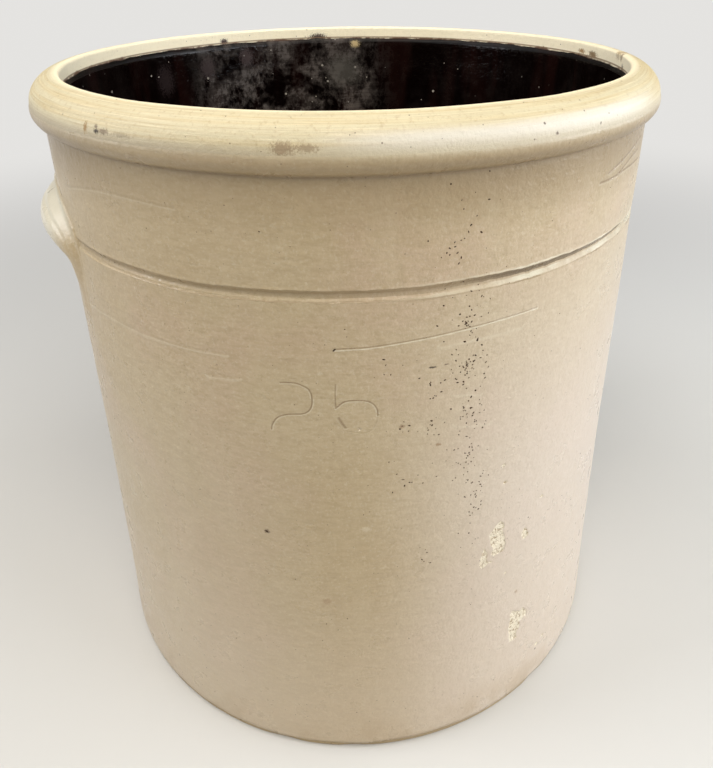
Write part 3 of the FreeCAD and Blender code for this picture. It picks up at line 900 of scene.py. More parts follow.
for vert in lining.verts:
    outward = outward_of(vert.co)
    if Vector((vert.co.x, vert.co.y, 0)).length > foot_bore - COVE:
        streak = side_noise(outward, 22, vert.co.z * 5)
        ring = side_noise(outward, 1.5, vert.co.z * 60)
        calm = 1 - smoothstep(CREASE_HEIGHT, SLIP_TOP, vert.co.z)
        vert.co -= outward * (0.22 * (streak + 1) + 0.14 * (ring + 1)) * MM * calm
        vert.co += outward * 1.3 * SLIP * smoothstep(SLIP_TOP - TUCK_EDGE, SLIP_TOP, vert.co.z)
        ragged = noise.noise(outward * 5) + 0.7 * noise.noise(outward * 17)
        vert.co.z += 1.6 * MM * ragged * smoothstep(SLIP_TOP - LINING_EDGE, SLIP_TOP, vert.co.z)
dark_slip_lining = finish_piece(lining, "dark_slip_lining", ["inner_slip_glaze"])
print("lining faces inwards:", dark_slip_lining.data.polygons[0].normal.z > 0)
thicken(dark_slip_lining, 0.7 * MM)

# %% [markdown]
# ## Ears
#
# Each ear is a coil of clay bent into an arch, pressed on the wall and smoothed down with a wet
# finger, so its edges melt into the wall. Over the top the finger leaves a shallow fold, a
# little valley, and a ridge of smeared clay beyond it. A swept tube would keep a hard crease all
# round. A fine grid, wrapped on the wall and raised by its distance from the arch's middle line,
# gives the melted edge at once, and smooth_vert rounds it off.

# %% The arch's middle line on the unrolled wall
ear_low, ear_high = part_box("right_ear_handle")
EAR_HALF_WIDTH = 24.5 * MM
EAR_LEG_HALF_WIDTH = 10 * MM
EAR_HALF_SPAN = 76 * MM
EAR_CROWN = ear_high.z - EAR_HALF_WIDTH
EAR_FOOT = ear_low.z
EAR_LEG_TOP = EAR_FOOT + 35 * MM
EAR_REACH = ear_high.x - wall_radius(EAR_CROWN) - WALL_SWELL
EAR_LEG_REACH = 2 * MM
ARCH_SHARE = 0.72
FULLNESS = 2.0 / 2.7


def arch_point(share):
    """Middle of the coil: share runs from -1 through the crown to 1."""
    along = abs(share)
    if along <= ARCH_SHARE:
        turn = along / ARCH_SHARE * math.pi / 2
        across = EAR_HALF_SPAN * math.sin(turn) ** FULLNESS
        height = EAR_LEG_TOP + (EAR_CROWN - EAR_LEG_TOP) * max(math.cos(turn), 0.0) ** FULLNESS
    else:
        across = EAR_HALF_SPAN
        height = EAR_LEG_TOP - (EAR_LEG_TOP - EAR_FOOT) * (along - ARCH_SHARE) / (1 - ARCH_SHARE)
    return Vector((math.copysign(across, share), height))


arch_line = [(i / 40, arch_point(i / 40)) for i in range(-40, 41)]


def ear_height(spot):
    """Height of the ear over the wall at a spot, how far the spot lies past the smeared edge,
    the share of the full reach there, and how deep in the valley the spot is."""
    best = (9.0, 0.0, 0.0, 0.0)
    for (first, start), (last, end) in zip(arch_line, arch_line[1:]):
        along = end - start
        part = min(max((spot - start).dot(along) / along.length_squared, 0.0), 1.0)
        share = first + (last - first) * part
        fade = smoothstep(0.0, 1.0, abs(share))
        half_width = EAR_HALF_WIDTH * (1 - fade) + EAR_LEG_HALF_WIDTH * fade
        away = spot - start - along * part
        if away.length / half_width < best[0]:
            reach = EAR_REACH * (1 - fade) + EAR_LEG_REACH * fade
            above = away.y / max(away.length, 1e-6)
            best = (away.length / half_width, reach, away.length - half_width, above)
    off, reach, outside, above = best
    smear = smoothstep(-0.1, 0.9, above)
    width = (3 + 8 * smear) * MM
    full = smear * reach / EAR_REACH
    lobe = reach * max(1 - off ** (2 + 0.5 * full), 0.0)
    fold = 1.9 * MM * full * bump_share(off, 0.56, 0.10)
    feather = (0.8 + 1.5 * smear) * MM * min(max(1 - outside / width, 0.0), 1.3)
    ridge = (1.0 + 2.0 * smear) * MM * bump_share(outside, width * 0.75, 2.4 * MM)
    valley = smear * bump_share(outside, width * 0.3, 3 * MM)
    return max(lobe, feather) - fold + ridge, outside - width, reach / EAR_REACH, valley


# %% Raise the grid into an ear
EAR_SUNK = 0.8 * MM
EAR_GRID = Vector((216, 128)) * MM
EAR_GRID_MIDDLE = (EAR_CROWN + EAR_FOOT) / 2 + 6 * MM
EAR_BACK = 5 * MM


def make_ear(name, replaced, middle_azimuth):
    bm = bmesh.new()
    bmesh.ops.create_grid(bm, x_segments=200, y_segments=124, size=0.5)
    outside_layer = bm.verts.layers.float.new("outside")
    smear_and_highlight_layer = bm.verts.layers.float.new("smeared")
    heights = {}
    for vert in bm.verts:
        spot = Vector((vert.co.x * EAR_GRID.x, EAR_GRID_MIDDLE + vert.co.y * EAR_GRID.y))
        heights[vert], vert[outside_layer], share, valley = ear_height(spot)
        inside = 1 - smoothstep(-2.5 * MM, -0.5 * MM, vert[outside_layer])
        # The smeared mask also carries the ear's painted highlight, lessened in the valley as painted
        # shade.
        vert[smear_and_highlight_layer] = inside * smoothstep(0.45, 0.85, share) * (1 - 0.55 * valley)
        azimuth = middle_azimuth + math.degrees(spot.x / WALL_REACH)
        vert.co = on_circle(azimuth, wall_radius(spot.y), spot.y)
    far = [face for face in bm.faces
           if min(vert[outside_layer] for vert in face.verts) > 1 * MM]
    bmesh.ops.delete(bm, geom=far, context="FACES")
    for vert in bm.verts:
        dents = 0.35 * MM * noise.noise(vert.co * 38) * smoothstep(0, 8 * MM, heights[vert])
        lift = swell_at(vert.co) - EAR_SUNK + heights[vert] + min(dents, 0.0)
        vert.co += outward_of(vert.co) * lift
    rooted = [vert for vert in bm.verts if not vert.is_boundary]
    for _ in range(2):
        bmesh.ops.smooth_vert(bm, verts=rooted, factor=0.5,
                              use_axis_x=True, use_axis_y=True, use_axis_z=True)
    back = bmesh.ops.extrude_face_region(bm, geom=bm.faces[:])
    back_verts = [item for item in back["geom"] if isinstance(item, bmesh.types.BMVert)]
    bmesh.ops.translate(bm, vec=-on_circle(middle_azimuth, EAR_BACK, 0), verts=back_verts)
    bmesh.ops.recalc_face_normals(bm, faces=bm.faces[:])
    return finish_piece(bm, name, [replaced], 60)


right_ear = make_ear("right_ear", "right_ear_handle", 0)
left_ear = make_ear("left_ear", "left_ear_handle", 180)

# %% [markdown]
# ## Clay foot
#
# Below the glaze a narrow band of bare stoneware shows, worn round where the crock was dragged
# over floors. It is the edge of the floor slab. The slab is spun, and its lower edge is nibbled
# by noise, most of all at two places in front.

# %% Spin the foot
FOOT_ROUND = 3 * MM
FOOT_DISH = 0.5 * MM
FOOT_NICKS = [(-120, 5), (-106, 3.5), (-64, 3), (35, 4), (140, 4)]
foot_clay = FOOT_RADIUS + 0.2 * MM
under_glaze = FOOT_RADIUS - GLAZE
foot_section = rows_along(
    (0, FOOT_DISH), ((foot_clay - 40 * MM, FOOT_DISH), 20 * MM),
    ((foot_clay - 32 * MM, 0), 2 * MM), ((foot_clay - FOOT_ROUND, 0), 4 * MM))
foot_section += arc((foot_clay - FOOT_ROUND, FOOT_ROUND), FOOT_ROUND, -90, 0, 6)[:-1]
foot_section += rows_along(
    (foot_clay, FOOT_ROUND), ((foot_clay, GLAZE_FOOT), 2 * MM),
    ((under_glaze, GLAZE_FOOT + 2 * MM), 2 * MM), ((under_glaze, FLOOR_TOP), 3 * MM))
foot_section.append((under_glaze, FLOOR_TOP))
foot_section += rows_along((foot_clay - 12 * MM, FLOOR_TOP), ((0, FLOOR_TOP), 40 * MM))
foot_section.append((0, FLOOR_TOP))
foot = turned_shell(foot_section, 300)
for vert in foot.verts:
    if Vector((vert.co.x, vert.co.y, 0)).length < foot_clay - 7 * MM or vert.co.z > 9 * MM:
        continue
    worn = 0.12 * (1 + noise.noise(vert.co * 40)) + 0.1 * (1 + noise.noise(vert.co * 300))
    for azimuth, half_turn in FOOT_NICKS:
        turn = (azimuth_of(vert.co) - azimuth + 180) % 360 - 180
        worn += 1.1 * bump_share(turn, 0, half_turn) * (1 + 0.4 * noise.noise(vert.co * 200))
    vert.co -= outward_of(vert.co) * worn * MM * (1 - smoothstep(4 * MM, 7 * MM, vert.co.z))
clay_foot = finish_piece(foot, "clay_foot", ["floor_slab"])

# %% [markdown]
# ## Iron pits
#
# Specks of iron in the clay burn through the glaze in firing and leave small dark pits. They
# crowd in an upright band on the front, and are rare elsewhere. A texture could draw them, but
# they would lie flat. Here each is a tiny closed cap with seven sides, set on the skin by a ray
# cast at it, so several hundred of them stay light.

# %% Where the pits are, as azimuths, heights in mm, and counts or sizes
from mathutils.bvhtree import BVHTree

random.seed(25)
PIT_BAND = [(522, -88.8), (362, -86.5), (266, -84.4), (200, -86.0)]
PIT_CLUSTERS = [(-86.7, 425, 18), (-86.5, 390, 20), (-92.2, 373, 6), (-91.8, 342, 9),
                (-85.7, 350, 13), (-85.6, 314, 13), (-96.6, 348, 5), (-95.6, 300, 9),
                (-84.1, 274, 12), (-83.6, 260, 6), (-86.1, 413, 6), (-87.9, 378, 5),
                (-93.4, 222, 4), (-89.4, 477, 6), (-86.5, 503, 5), (-99.5, 398, 4)]
SINGLE_PITS = [(-90.5, 525.3, 0.8), (-84.8, 530.9, 0.8), (-85.5, 490.7, 1.1), (-88.8, 514.1, 0.6),
               (-120.1, 247.2, 1.5), (-107.1, 413.4, 1.1), (-94.3, 387.3, 0.9),
               (-70.6, 220.9, 0.8), (-63.9, 39.5, 1.3), (-99.0, 318.0, 0.7)]
skin_tree = BVHTree.FromObject(pale_glaze_skin, bpy.context.evaluated_depsgraph_get())


def skin_at(azimuth, height):
    """Where the outer skin really is at a height in mm, and the way it faces."""
    start = on_circle(azimuth, RIM_RADIUS + 20 * MM, height * MM)
    return skin_tree.ray_cast(start, -on_circle(azimuth, 1, 0))[:2]


def band_azimuth(height):
    for (high, high_at), (low, low_at) in zip(PIT_BAND, PIT_BAND[1:]):
        if height > low or (low, low_at) == PIT_BAND[-1]:
            return low_at + (high_at - low_at) * (height - low) / (high - low)


pit_places = list(SINGLE_PITS)
for azimuth, height, count in PIT_CLUSTERS:
    for _ in range(count):
        pit_places.append((random.gauss(azimuth, 0.9), random.gauss(height, 5.0),
                           random.triangular(0.5, 1.2, 0.7)))
for _ in range(120):
    height = random.triangular(190, 528, 390)
    pit_places.append((random.gauss(band_azimuth(height), 2.2), height,
                       random.triangular(0.4, 1.15, 0.55)))
for _ in range(420):
    pit_places.append((random.uniform(-180, 180), random.uniform(14, 525),
                       random.triangular(0.25, 0.7, 0.32)))

# %% Set the pits on the skin
pits = bmesh.new()
for azimuth, height, size in pit_places:
    hit, normal = skin_at(azimuth, height)
    if hit is None or hit.to_2d().length > CREASE_RADIUS + 1.5 * MM:
        continue
    long_axis = random.uniform(1.0, 1.5)
    turn = Matrix.Rotation(random.uniform(0, math.tau), 4, "Z")
    facing = normal.to_track_quat("Z", "Y").to_matrix().to_4x4()
    stretch = Matrix.Diagonal((long_axis, 1 / long_axis, 1, 1))
    bmesh.ops.create_cone(pits, cap_ends=True, segments=7, radius1=size * MM,
                          radius2=size * 0.55 * MM, depth=0.3 * MM,
                          matrix=Matrix.Translation(hit) @ facing @ turn @ stretch)
print("%d places for pits" % len(pit_places))
bmesh.ops.recalc_face_normals(pits, faces=pits.faces[:])
glaze_pits = finish_piece(pits, "glaze_pits", ["outer_glaze"], 80)

# %% [markdown]
# ## Pale glaze
#
# Five finishes cover the crock, and all their patterns read Object coordinates, so they run on
# from the skin to the ears and the rim without a seam. The first is a warm buff glaze with soft
# clouds, fine level lines and a slightly uneven gloss. One noise would look printed, so it is
# built up in layers: the fired colour, then painted shade under the rim and in the seam groove,
# a painted sheen on the right side and painted highlights on the groove's ledge and lip, the
# ears and the scratches, then what a century of use has left.

# %% A material to start from


def new_material(name):
    material = bpy.data.materials.new(name)
    material.use_nodes = True
    wiring = Wiring(material.node_tree)
    shader = material.node_tree.nodes["Principled BSDF"]
    place = wiring.add("TexCoord").outputs["Object"]
    return material, wiring, shader, place


def stains_on(wiring, place, colour, stains):
    """Colour with ragged stains: (azimuth, radius, height, size, flatten, stain colour, strength)."""
    for azimuth, radius, height, size, flatten, stain_colour, strength in stains:
        mask = wiring.group(stain_group, place, Centre=on_circle(azimuth, radius * MM, height * MM),
                            Radius=size * MM, Flatten=flatten)["Mask"]
        colour = wiring.mix(wiring.times(mask, strength), colour, stain_colour)
    return colour


# %% Pale glaze
GLAZE_BUFF = (0.510, 0.395, 0.240, 1)
GLAZE_CREAM = (0.565, 0.460, 0.305, 1)
GLAZE_PINK = (0.560, 0.415, 0.300, 1)
GLAZE_LINE = (0.425, 0.320, 0.185, 1)
GLAZE_SHADE_PAINT = (0.315, 0.230, 0.132, 1)
GLAZE_DEEP_SHADE_PAINT = (0.17, 0.12, 0.07, 1)
GLAZE_SHEEN_PAINT = (0.690, 0.600, 0.530, 1)
GLAZE_PALE_AND_HIGHLIGHT = (0.70, 0.64, 0.50, 1)
GLAZE_SHADOW = (0.24, 0.17, 0.10, 1)
IRON_BROWN = (0.11, 0.065, 0.040, 1)
EAR_HIGHLIGHT_PAINT = (0.70, 0.655, 0.535, 1)
GLAZE_GREY = (0.60, 0.53, 0.425, 1)
GLAZE_LOW = (0.71, 0.60, 0.49, 1)
CLAY_BUFF = (0.93, 0.84, 0.68, 1)
CLAY_BROWN = (0.47, 0.35, 0.22, 1)
cream_glaze, w, shader, place = new_material("cream_glaze")
mottle = w.group(mottle_group, place)
turning = w.group(turning_group, place)
axes = w.axes(place)
height = axes["Z"]
grain = w.noise(place, 430.0, 4.0, 0.65)
colour = w.mix(mottle["Broad"], GLAZE_BUFF, GLAZE_CREAM)
colour = w.mix(w.times(mottle["Small"], 0.35), colour, GLAZE_CREAM)
colour = w.washed(colour, [
    (w.noise(place, 9.0, 3.0, 0.55), 0.45, 0.7, 0.6, GLAZE_PINK),
    (turning["Coarse"], 0.55, 0.8, 0.14, GLAZE_LINE),
    (turning["Fine"], 0.55, 0.8, 0.16, GLAZE_LINE),
    (w.noise(place, (95, 95, 300), 4.0, 0.65), 0.35, 0.7, 0.5, GLAZE_LINE),
    (grain, 0.5, 0.72, 0.35, GLAZE_LINE),
    (grain, 0.48, 0.3, 0.3, GLAZE_PALE_AND_HIGHLIGHT),
    (w.noise(place, (42, 42, 7), 3.0, 0.6), 0.5, 0.75, 0.35, GLAZE_CREAM)])

# %% Pale glaze: painted shade under the rim and in the crease, and a painted sheen on the right side
# How much a point faces the crock's right side, where the strong lamp stands; the painted light and
# shade below follow it.
right_side = w.facing(axes, -52)
under_rim_shade = w.math("MAXIMUM", w.ramp(right_side, 0.5, 0.95, 0.42, 0.95),
                   w.ramp(right_side, -0.3, 0.2, 0.9, 0.42))
to_rim = w.ramp(height, 0.5430, 0.5505)
rim_look = w.group(rim_group, place)
colour = w.layered(colour, [
    # Painted sheen on the right side, fading out towards the rim.
    (w.patch(right_side, (0.60, 0.98), height, (0.25, 0.54), 0.75), GLAZE_SHEEN_PAINT),
    # Painted shade on the wall just under the rim, strongest at both sides, then a painted shadow in
    # the crease.
    (w.band(height, (0.480, 0.533), (0.539, 0.551), under_rim_shade), GLAZE_SHADE_PAINT),
    (w.band(height, (0.5305, 0.5330), (0.5340, 0.5365), 0.6), GLAZE_SHADOW),
    (to_rim, rim_look["Colour"])])

# %% Pale glaze: painted shade in the seam groove and under its ledge, painted highlights on its ledge and lip
near = w.attribute("seam_near")
wobble = w.times(w.math("SUBTRACT", w.noise(place, 110.0, 4.0, 0.65), 0.5), 2.6)
rise = w.math("ADD", w.attribute("seam_rise"), wobble)


def seam_band(low, high, strength):
    """Band between two heights over the seam, in mm, with a ragged edge."""
    over = w.math("SUBTRACT", rise, high)
    return w.times(w.ramp(rise, low - 0.3, low + 0.5), w.ramp(over, -0.5, 0.3, 1.0, 0.0),
                   near, strength)


# Noise that breaks up the painted highlights on the groove, kept to the right side.
broken = w.times(w.ramp(w.noise(place, 24.0, 4.0, 0.65), 0.38, 0.58, 0.35, 1.0),
                 w.ramp(right_side, 0.66, 0.88))
groove_shade_colour = w.mix(w.ramp(right_side, 0.74, 0.90), GLAZE_SHADE_PAINT, GLAZE_DEEP_SHADE_PAINT)
groove_floor_shade = w.times(w.band(rise, (-2.0, 3.0), (5.0, 5.8)), near,
                    w.ramp(right_side, 0.80, 0.92, 0.55, 0.0))
ledge_shade = w.times(w.ramp(right_side, -0.1, 0.15), w.ramp(right_side, 0.70, 0.85, 0.65, 0.0))
ledge_top = w.ramp(right_side, 0.78, 0.92, -2.0, -0.8)
# Painted shade in the groove, stronger towards the right, and a painted shadow line under the ledge;
# then painted highlights on the lip and the ledge.
colour = w.layered(colour, [
    (groove_floor_shade, GLAZE_SHADE_PAINT),
    (seam_band(2.2, 5.5, w.ramp(right_side, 0.70, 0.90, 0.10, 1.0)), groove_shade_colour),
    (seam_band(0.4, 2.8, w.ramp(right_side, 0.70, 0.92, 0.0, 0.9)), groove_shade_colour),
    (seam_band(-3.9, -2.6, ledge_shade), GLAZE_SHADE_PAINT),
    (w.times(seam_band(5.6, 7.0, 0.9), broken), GLAZE_PALE_AND_HIGHLIGHT),
    (w.times(seam_band(-3.6, ledge_top, 1.0), broken), GLAZE_PALE_AND_HIGHLIGHT),
    (w.times(seam_band(-5.0, -3.8, 0.8), broken), GLAZE_SHADE_PAINT)])

# %% Pale glaze: paler low on the wall, a painted highlight on the ears, browner near the foot, specks and stains
near_foot = w.times(w.ramp(height, 0.0, 0.055, 0.55, 0.0),
                    w.ramp(w.noise(place, 22.0, 4.0, 0.6), 0.42, 0.66))
specks = w.group(speck_group, place, Scale=330.0, Size=0.17, Rarity=0.86)
grey_side = w.patch(w.facing(axes, -155), (0.65, 0.98), height, (0.25, 0.40), 0.3)
colour = w.layered(colour, [
    (w.ramp(height, 0.03, 0.22, 0.35, 0.0), GLAZE_LOW),
    (grey_side, GLAZE_GREY),
    # Painted highlight on the ears.
    (w.times(w.attribute("smeared"), 0.92), EAR_HIGHLIGHT_PAINT),
    (near_foot, CLAY_BROWN),
    (w.times(specks["Mask"], 0.6), IRON_BROWN)])
ROUND = (1, 1, 1)
WALL_STAINS = [
    (-110.1, 257.3, 180.2, 4.5, ROUND, (0.36, 0.23, 0.13, 1), 0.5),
    (-120.1, 257.3, 247.2, 3.0, ROUND, IRON_BROWN, 0.75),
    (-92.2, 257.9, 394.8, 3.0, (0.8, 1, 2.8), (0.05, 0.03, 0.02, 1), 0.95),
    (-90.0, 257.9, 395.6, 2.0, (0.8, 1, 2.8), IRON_BROWN, 0.8),
    (-90.9, 257.3, 328.0, 2.6, (0.8, 1, 1.5), (0.30, 0.19, 0.10, 1), 0.8),
    (-96.9, 257.3, 348.6, 2.6, ROUND, (0.30, 0.19, 0.10, 1), 0.7),
    (-109.4, 257.5, 395.2, 2.8, ROUND, (0.70, 0.62, 0.48, 1), 0.5),
    (-102.9, 257.3, 255.5, 4.0, (0.8, 1, 1.3), (0.70, 0.62, 0.48, 1), 0.5),
    (-72.0, 257.3, 140.0, 3.0, ROUND, (0.36, 0.23, 0.13, 1), 0.5),
]
colour = stains_on(w, place, colour, WALL_STAINS)

# %% Pale glaze: scratches with a painted highlight under them, and bare clay in the flaked patches
SCRATCH_HIGHLIGHT_PAINT = (0.76, 0.70, 0.56, 1)
SCRATCH_BROWN = (0.22, 0.14, 0.07, 1)
crumble = w.times(w.math("SUBTRACT", w.noise(place, 700.0, 3.0, 0.7), 0.5), 0.5)
bare = w.ramp(w.math("ADD", w.attribute("flaked"), crumble), 0.44, 0.54)
torn = w.noise(place, 330.0, 4.0, 0.75)
colour = w.layered(colour, [
    (w.math("MULTIPLY", w.attribute("lower_burr_highlight"), 0.75, clamp=True), SCRATCH_HIGHLIGHT_PAINT),
    (w.math("MULTIPLY", w.attribute("scratched"), 0.55, clamp=True), SCRATCH_BROWN),
    (bare, w.mix(w.ramp(torn, 0.38, 0.52), CLAY_BROWN, CLAY_BUFF))])

# %% Pale glaze: gloss that breaks into glints on the ledge, and relief that is calm on the ears
sheen = w.ramp(mottle["Small"], 0.0, 1.0, 0.27, 0.37)
glints = w.ramp(w.noise(place, 260.0, 4.0, 0.7), 0.54, 0.62, 0.22, -0.17)
sheen = w.math("ADD", sheen, w.times(seam_band(-3.5, 1.5, 1.0), glints))
calm = w.math("SUBTRACT", 1.0, w.times(w.attribute("smeared"), 0.8))
rubbed = w.math("ADD", w.times(rim_look["Lines"], 0.3), rim_look["Grit"])
relief = None
for pattern, distance in (
        (turning["Coarse"], 0.35), (turning["Fine"], 0.06),
        (w.times(w.noise(place, 150.0, 4.0, 0.6), calm), 0.8),
        (w.times(grain, calm), 0.22), (w.times(rubbed, to_rim), 0.75)):
    relief = w.bump(pattern, distance * MM, relief)
rough_clay = w.bump(torn, 2.2 * MM, relief)
either = w.fill(w.add("Mix", data_type="VECTOR"), {0: bare, 4: relief, 5: rough_clay})[1]
w.fill(shader, {"Base Color": colour, "Normal": either,
                "Roughness": w.math("ADD", sheen, w.times(bare, 0.5), clamp=True)})
print("pale glaze: %d nodes" % len(w.nodes))

# %% [markdown]
# ## Wiped rim
#
# The top of the rim is the same glaze rubbed thin, so it is yellower, paler and duller, with
# lines that follow the roll and a few brown stains. The shared rim group gives the colour, so
# the skin's lap and the roll look like one surface, and this material adds the stains.

# %% Wiped rim
wiped_rim, w, shader, place = new_material("wiped_rim")
height = w.axes(place)["Z"]
rim_look = w.group(rim_group, place)
flat_radius = rim_look["Radius"]
# The inner edge is pale, and its white is raised further as painted light from the front.
pale_lit_inner_edge = w.times(w.ramp(flat_radius, 0.2445, 0.2525, 1.0, 0.0),
                     w.ramp(rim_look["Grit"], 0.45, 0.70, 1.0, 0.85))
specks = w.group(speck_group, place, Scale=300.0, Size=0.2, Rarity=0.82)
colour = w.layered(rim_look["Colour"], [
    (pale_lit_inner_edge, RIM_WHITE), (w.times(specks["Mask"], 0.7), IRON_BROWN)])
RIM_TAN = (0.36, 0.22, 0.08, 1)
RIM_BROWN = (0.15, 0.09, 0.05, 1)
RIM_RUST = (0.28, 0.19, 0.11, 1)
SLIP_DRIP = (0.05, 0.025, 0.02, 1)
RIM_STAINS = [
    (-143.4, 267.9, 553.9, 4.6, (1.7, 1.7, 0.8), RIM_TAN, 0.95),
    (-140.9, 268.5, 552.8, 3.0, ROUND, (0.03, 0.015, 0.008, 1), 0.98),
    (-139.4, 268.3, 553.0, 4.6, (0.7, 0.7, 1.9), RIM_BROWN, 0.7),
    (-136.0, 268.3, 552.6, 5.0, (0.5, 0.5, 2.2), RIM_BROWN, 0.35),
    (-141.0, 268.0, 555.6, 2.6, (1, 1, 1.4), RIM_BROWN, 0.7),
    (-112.4, 268.2, 552.1, 8.0, (0.8, 0.8, 1.5), RIM_RUST, 0.75),
    (-109.4, 268.4, 552.6, 6.5, (0.7, 0.7, 1.9), RIM_RUST, 0.65),
    (-77.3, 266.2, 558.3, 1.2, ROUND, IRON_BROWN, 0.9),
    (-75.3, 268.5, 551.4, 1.6, ROUND, IRON_BROWN, 0.9),
    (-66.5, 268.6, 552.0, 1.3, ROUND, IRON_BROWN, 0.8),
    (1.6, 243.2, 560.9, 4.5, (1, 0.6, 1.5), (0.36, 0.20, 0.07, 1), 0.9),
    (-3.4, 243.2, 560.0, 5.5, (1, 0.5, 1.3), (0.20, 0.11, 0.04, 1), 0.9),
    (-17.0, 247.0, 569.0, 9.0, ROUND, (0.42, 0.29, 0.15, 1), 0.75),
    (-19.5, 244.5, 567.0, 5.0, ROUND, (0.24, 0.13, 0.05, 1), 0.7),
    (112.0, 243.3, 558.6, 5.0, (0.7, 1, 1), SLIP_DRIP, 1.0),
    (84.8, 243.3, 557.8, 7.0, (0.45, 1, 1.1), SLIP_DRIP, 1.0),
    (-21.1, 243.2, 558.5, 4.0, ROUND, IRON_BROWN, 0.8),
]
colour = stains_on(w, place, colour, RIM_STAINS)

# %% Wiped rim: dark slip that crept over the inner edge, as a broken line and a few runs
CREEP_BROWN = (0.10, 0.05, 0.03, 1)
TIDE_BROWN = (0.22, 0.13, 0.07, 1)
in_throat = w.math("LESS_THAN", flat_radius, 0.2445)
creep_edge = w.math("ADD", height, w.times(w.noise(place, 60.0, 4.0, 0.6), 9 * MM))
from_tide = w.math("ABSOLUTE", w.math("SUBTRACT", height, 0.5577))
colour = w.layered(colour, [
    (w.times(w.ramp(creep_edge, 0.5605, 0.5625, 1.0, 0.0), in_throat), CREEP_BROWN),
    (w.times(w.ramp(from_tide, 0.4 * MM, 1.1 * MM, 0.8, 0.0), in_throat), TIDE_BROWN)])
lined = w.bump(rim_look["Lines"], 0.22 * MM)
w.fill(shader, {"Base Color": colour, "Normal": w.bump(rim_look["Grit"], 0.75 * MM, lined),
                "Roughness": w.ramp(rim_look["Lines"], 0.3, 0.7, 0.42, 0.58)})
print("wiped rim: %d stains" % len(RIM_STAINS))

# %% [markdown]
# ## Dark slip
#
# The slip inside is nearly black and glossy. Mostly on the far wall it has a grey haze, partly
# a dull film and partly a painted reflection, and pale flecks that are partly painted glints.
# Two noises multiplied leave islands of haze, where one alone would only give an even veil, and
# a few stains set its densest places.

# %% Dark slip
SLIP_BLACK = (0.0018, 0.0006, 0.0005, 1)
SLIP_BROWN = (0.008, 0.0024, 0.0019, 1)
SLIP_HAZE_AND_REFLECTION = (0.165, 0.138, 0.124, 1)
SLIP_FLECK_AND_GLINT = (0.42, 0.38, 0.33, 1)
HAZE_AZIMUTH = math.radians(94)
dark_slip, w, shader, place = new_material("dark_slip")
axes = w.axes(place)
toward = w.math("ADD", w.times(axes["X"], math.cos(HAZE_AZIMUTH) / BORE_RADIUS),
                w.times(axes["Y"], math.sin(HAZE_AZIMUTH) / BORE_RADIUS))
streaks = w.noise(place, (30, 30, 5), 4.0, 0.6)
# Grey haze on the far wall: partly a dull film, partly a painted reflection.
haze = w.times(w.ramp(w.noise(place, (60, 60, 45), 6.0, 0.75), 0.38, 0.66),
               w.ramp(w.noise(place, 22.0, 4.0, 0.65), 0.36, 0.56),
               w.ramp(w.noise(place, (24, 24, 420), 4.0, 0.7), 0.3, 0.65, 0.6, 1.0),
               w.ramp(toward, 0.84, 0.96, 0.04, 1.0),
               w.ramp(axes["Z"], 0.500, 0.535, 1.0, 0.6))
specks = w.group(speck_group, place, Scale=150.0, Size=0.24, Rarity=0.84)
# Pale flecks, partly painted glints, mostly on the far wall.
flecks = w.times(specks["Mask"], w.ramp(toward, 0.3, 0.9, 0.25, 0.9))
colour = w.mix(w.ramp(streaks, 0.45, 0.7), SLIP_BLACK, SLIP_BROWN)
colour = w.layered(colour, [(haze, SLIP_HAZE_AND_REFLECTION), (flecks, SLIP_FLECK_AND_GLINT)])
throat = lining_radius / MM
colour = stains_on(w, place, colour, [
    (74.0, throat, 549.8, 5.0, (0.7, 1, 0.9), (0.55, 0.42, 0.22, 1), 0.9),
    (77.5, throat, 518.0, 26.0, ROUND, (0.085, 0.078, 0.068, 1), 0.7),
    (118.0, throat, 532.0, 13.0, (1, 1, 0.8), (0.060, 0.045, 0.045, 1), 0.7),
    (132.0, throat, 526.0, 15.0, (1, 1, 0.7), (0.040, 0.028, 0.028, 1), 0.45),
    (106.0, throat, 540.0, 11.0, (1, 1, 0.7), (0.075, 0.055, 0.055, 1), 0.7)])
dull_edge = w.ramp(axes["Z"], SLIP_TOP - 5 * MM, SLIP_TOP - 3 * MM, 0.0, 0.4)
runs = w.bump(streaks, 0.5 * MM)
w.fill(shader, {"Base Color": colour, "Specular IOR Level": 0.22,
                "Roughness": w.math("ADD", dull_edge, w.ramp(haze, 0.0, 0.6, 0.12, 0.4)),
                "Normal": w.bump(w.noise(place, 95.0, 4.0, 0.65), 0.7 * MM, runs)})
print("dark slip: %d nodes" % len(w.nodes))

# %% [markdown]
# ## Bare clay and burnt iron
#
# The clay is a dry yellow buff with iron grains, and the pits are burnt iron. Both are rough all
# over, so a plain roughness is enough, and the clay's grain is in its bump.

# %% Bare clay, and burnt iron
CLAY_DARK, CLAY_LIGHT = (0.43, 0.33, 0.205, 1), (0.52, 0.41, 0.26, 1)
IRON_DARK, IRON_LIGHT = (0.018, 0.011, 0.008, 1), (0.11, 0.06, 0.035, 1)
bare_clay, w, shader, place = new_material("bare_clay")
mottle = w.group(mottle_group, place)
specks = w.group(speck_group, place, Scale=420.0, Size=0.25, Rarity=0.7)
colour = w.layered(w.mix(mottle["Broad"], CLAY_DARK, CLAY_LIGHT), [
    (w.ramp(w.noise(place, 350.0, 4.0, 0.7), 0.5, 0.75, 0.0, 0.5), CLAY_BROWN),
    (w.times(specks["Mask"], 0.7), IRON_BROWN)])
w.fill(shader, {"Base Color": colour, "Roughness": 0.86,
                "Normal": w.bump(w.noise(place, 500.0, 4.0, 0.7), 0.4 * MM)})

burnt_iron, w, shader, place = new_material("burnt_iron")
w.fill(shader, {"Base Color": w.mix(w.noise(place, 300.0), IRON_DARK, IRON_LIGHT),
                "Roughness": 0.8, "Specular IOR Level": 0.15})

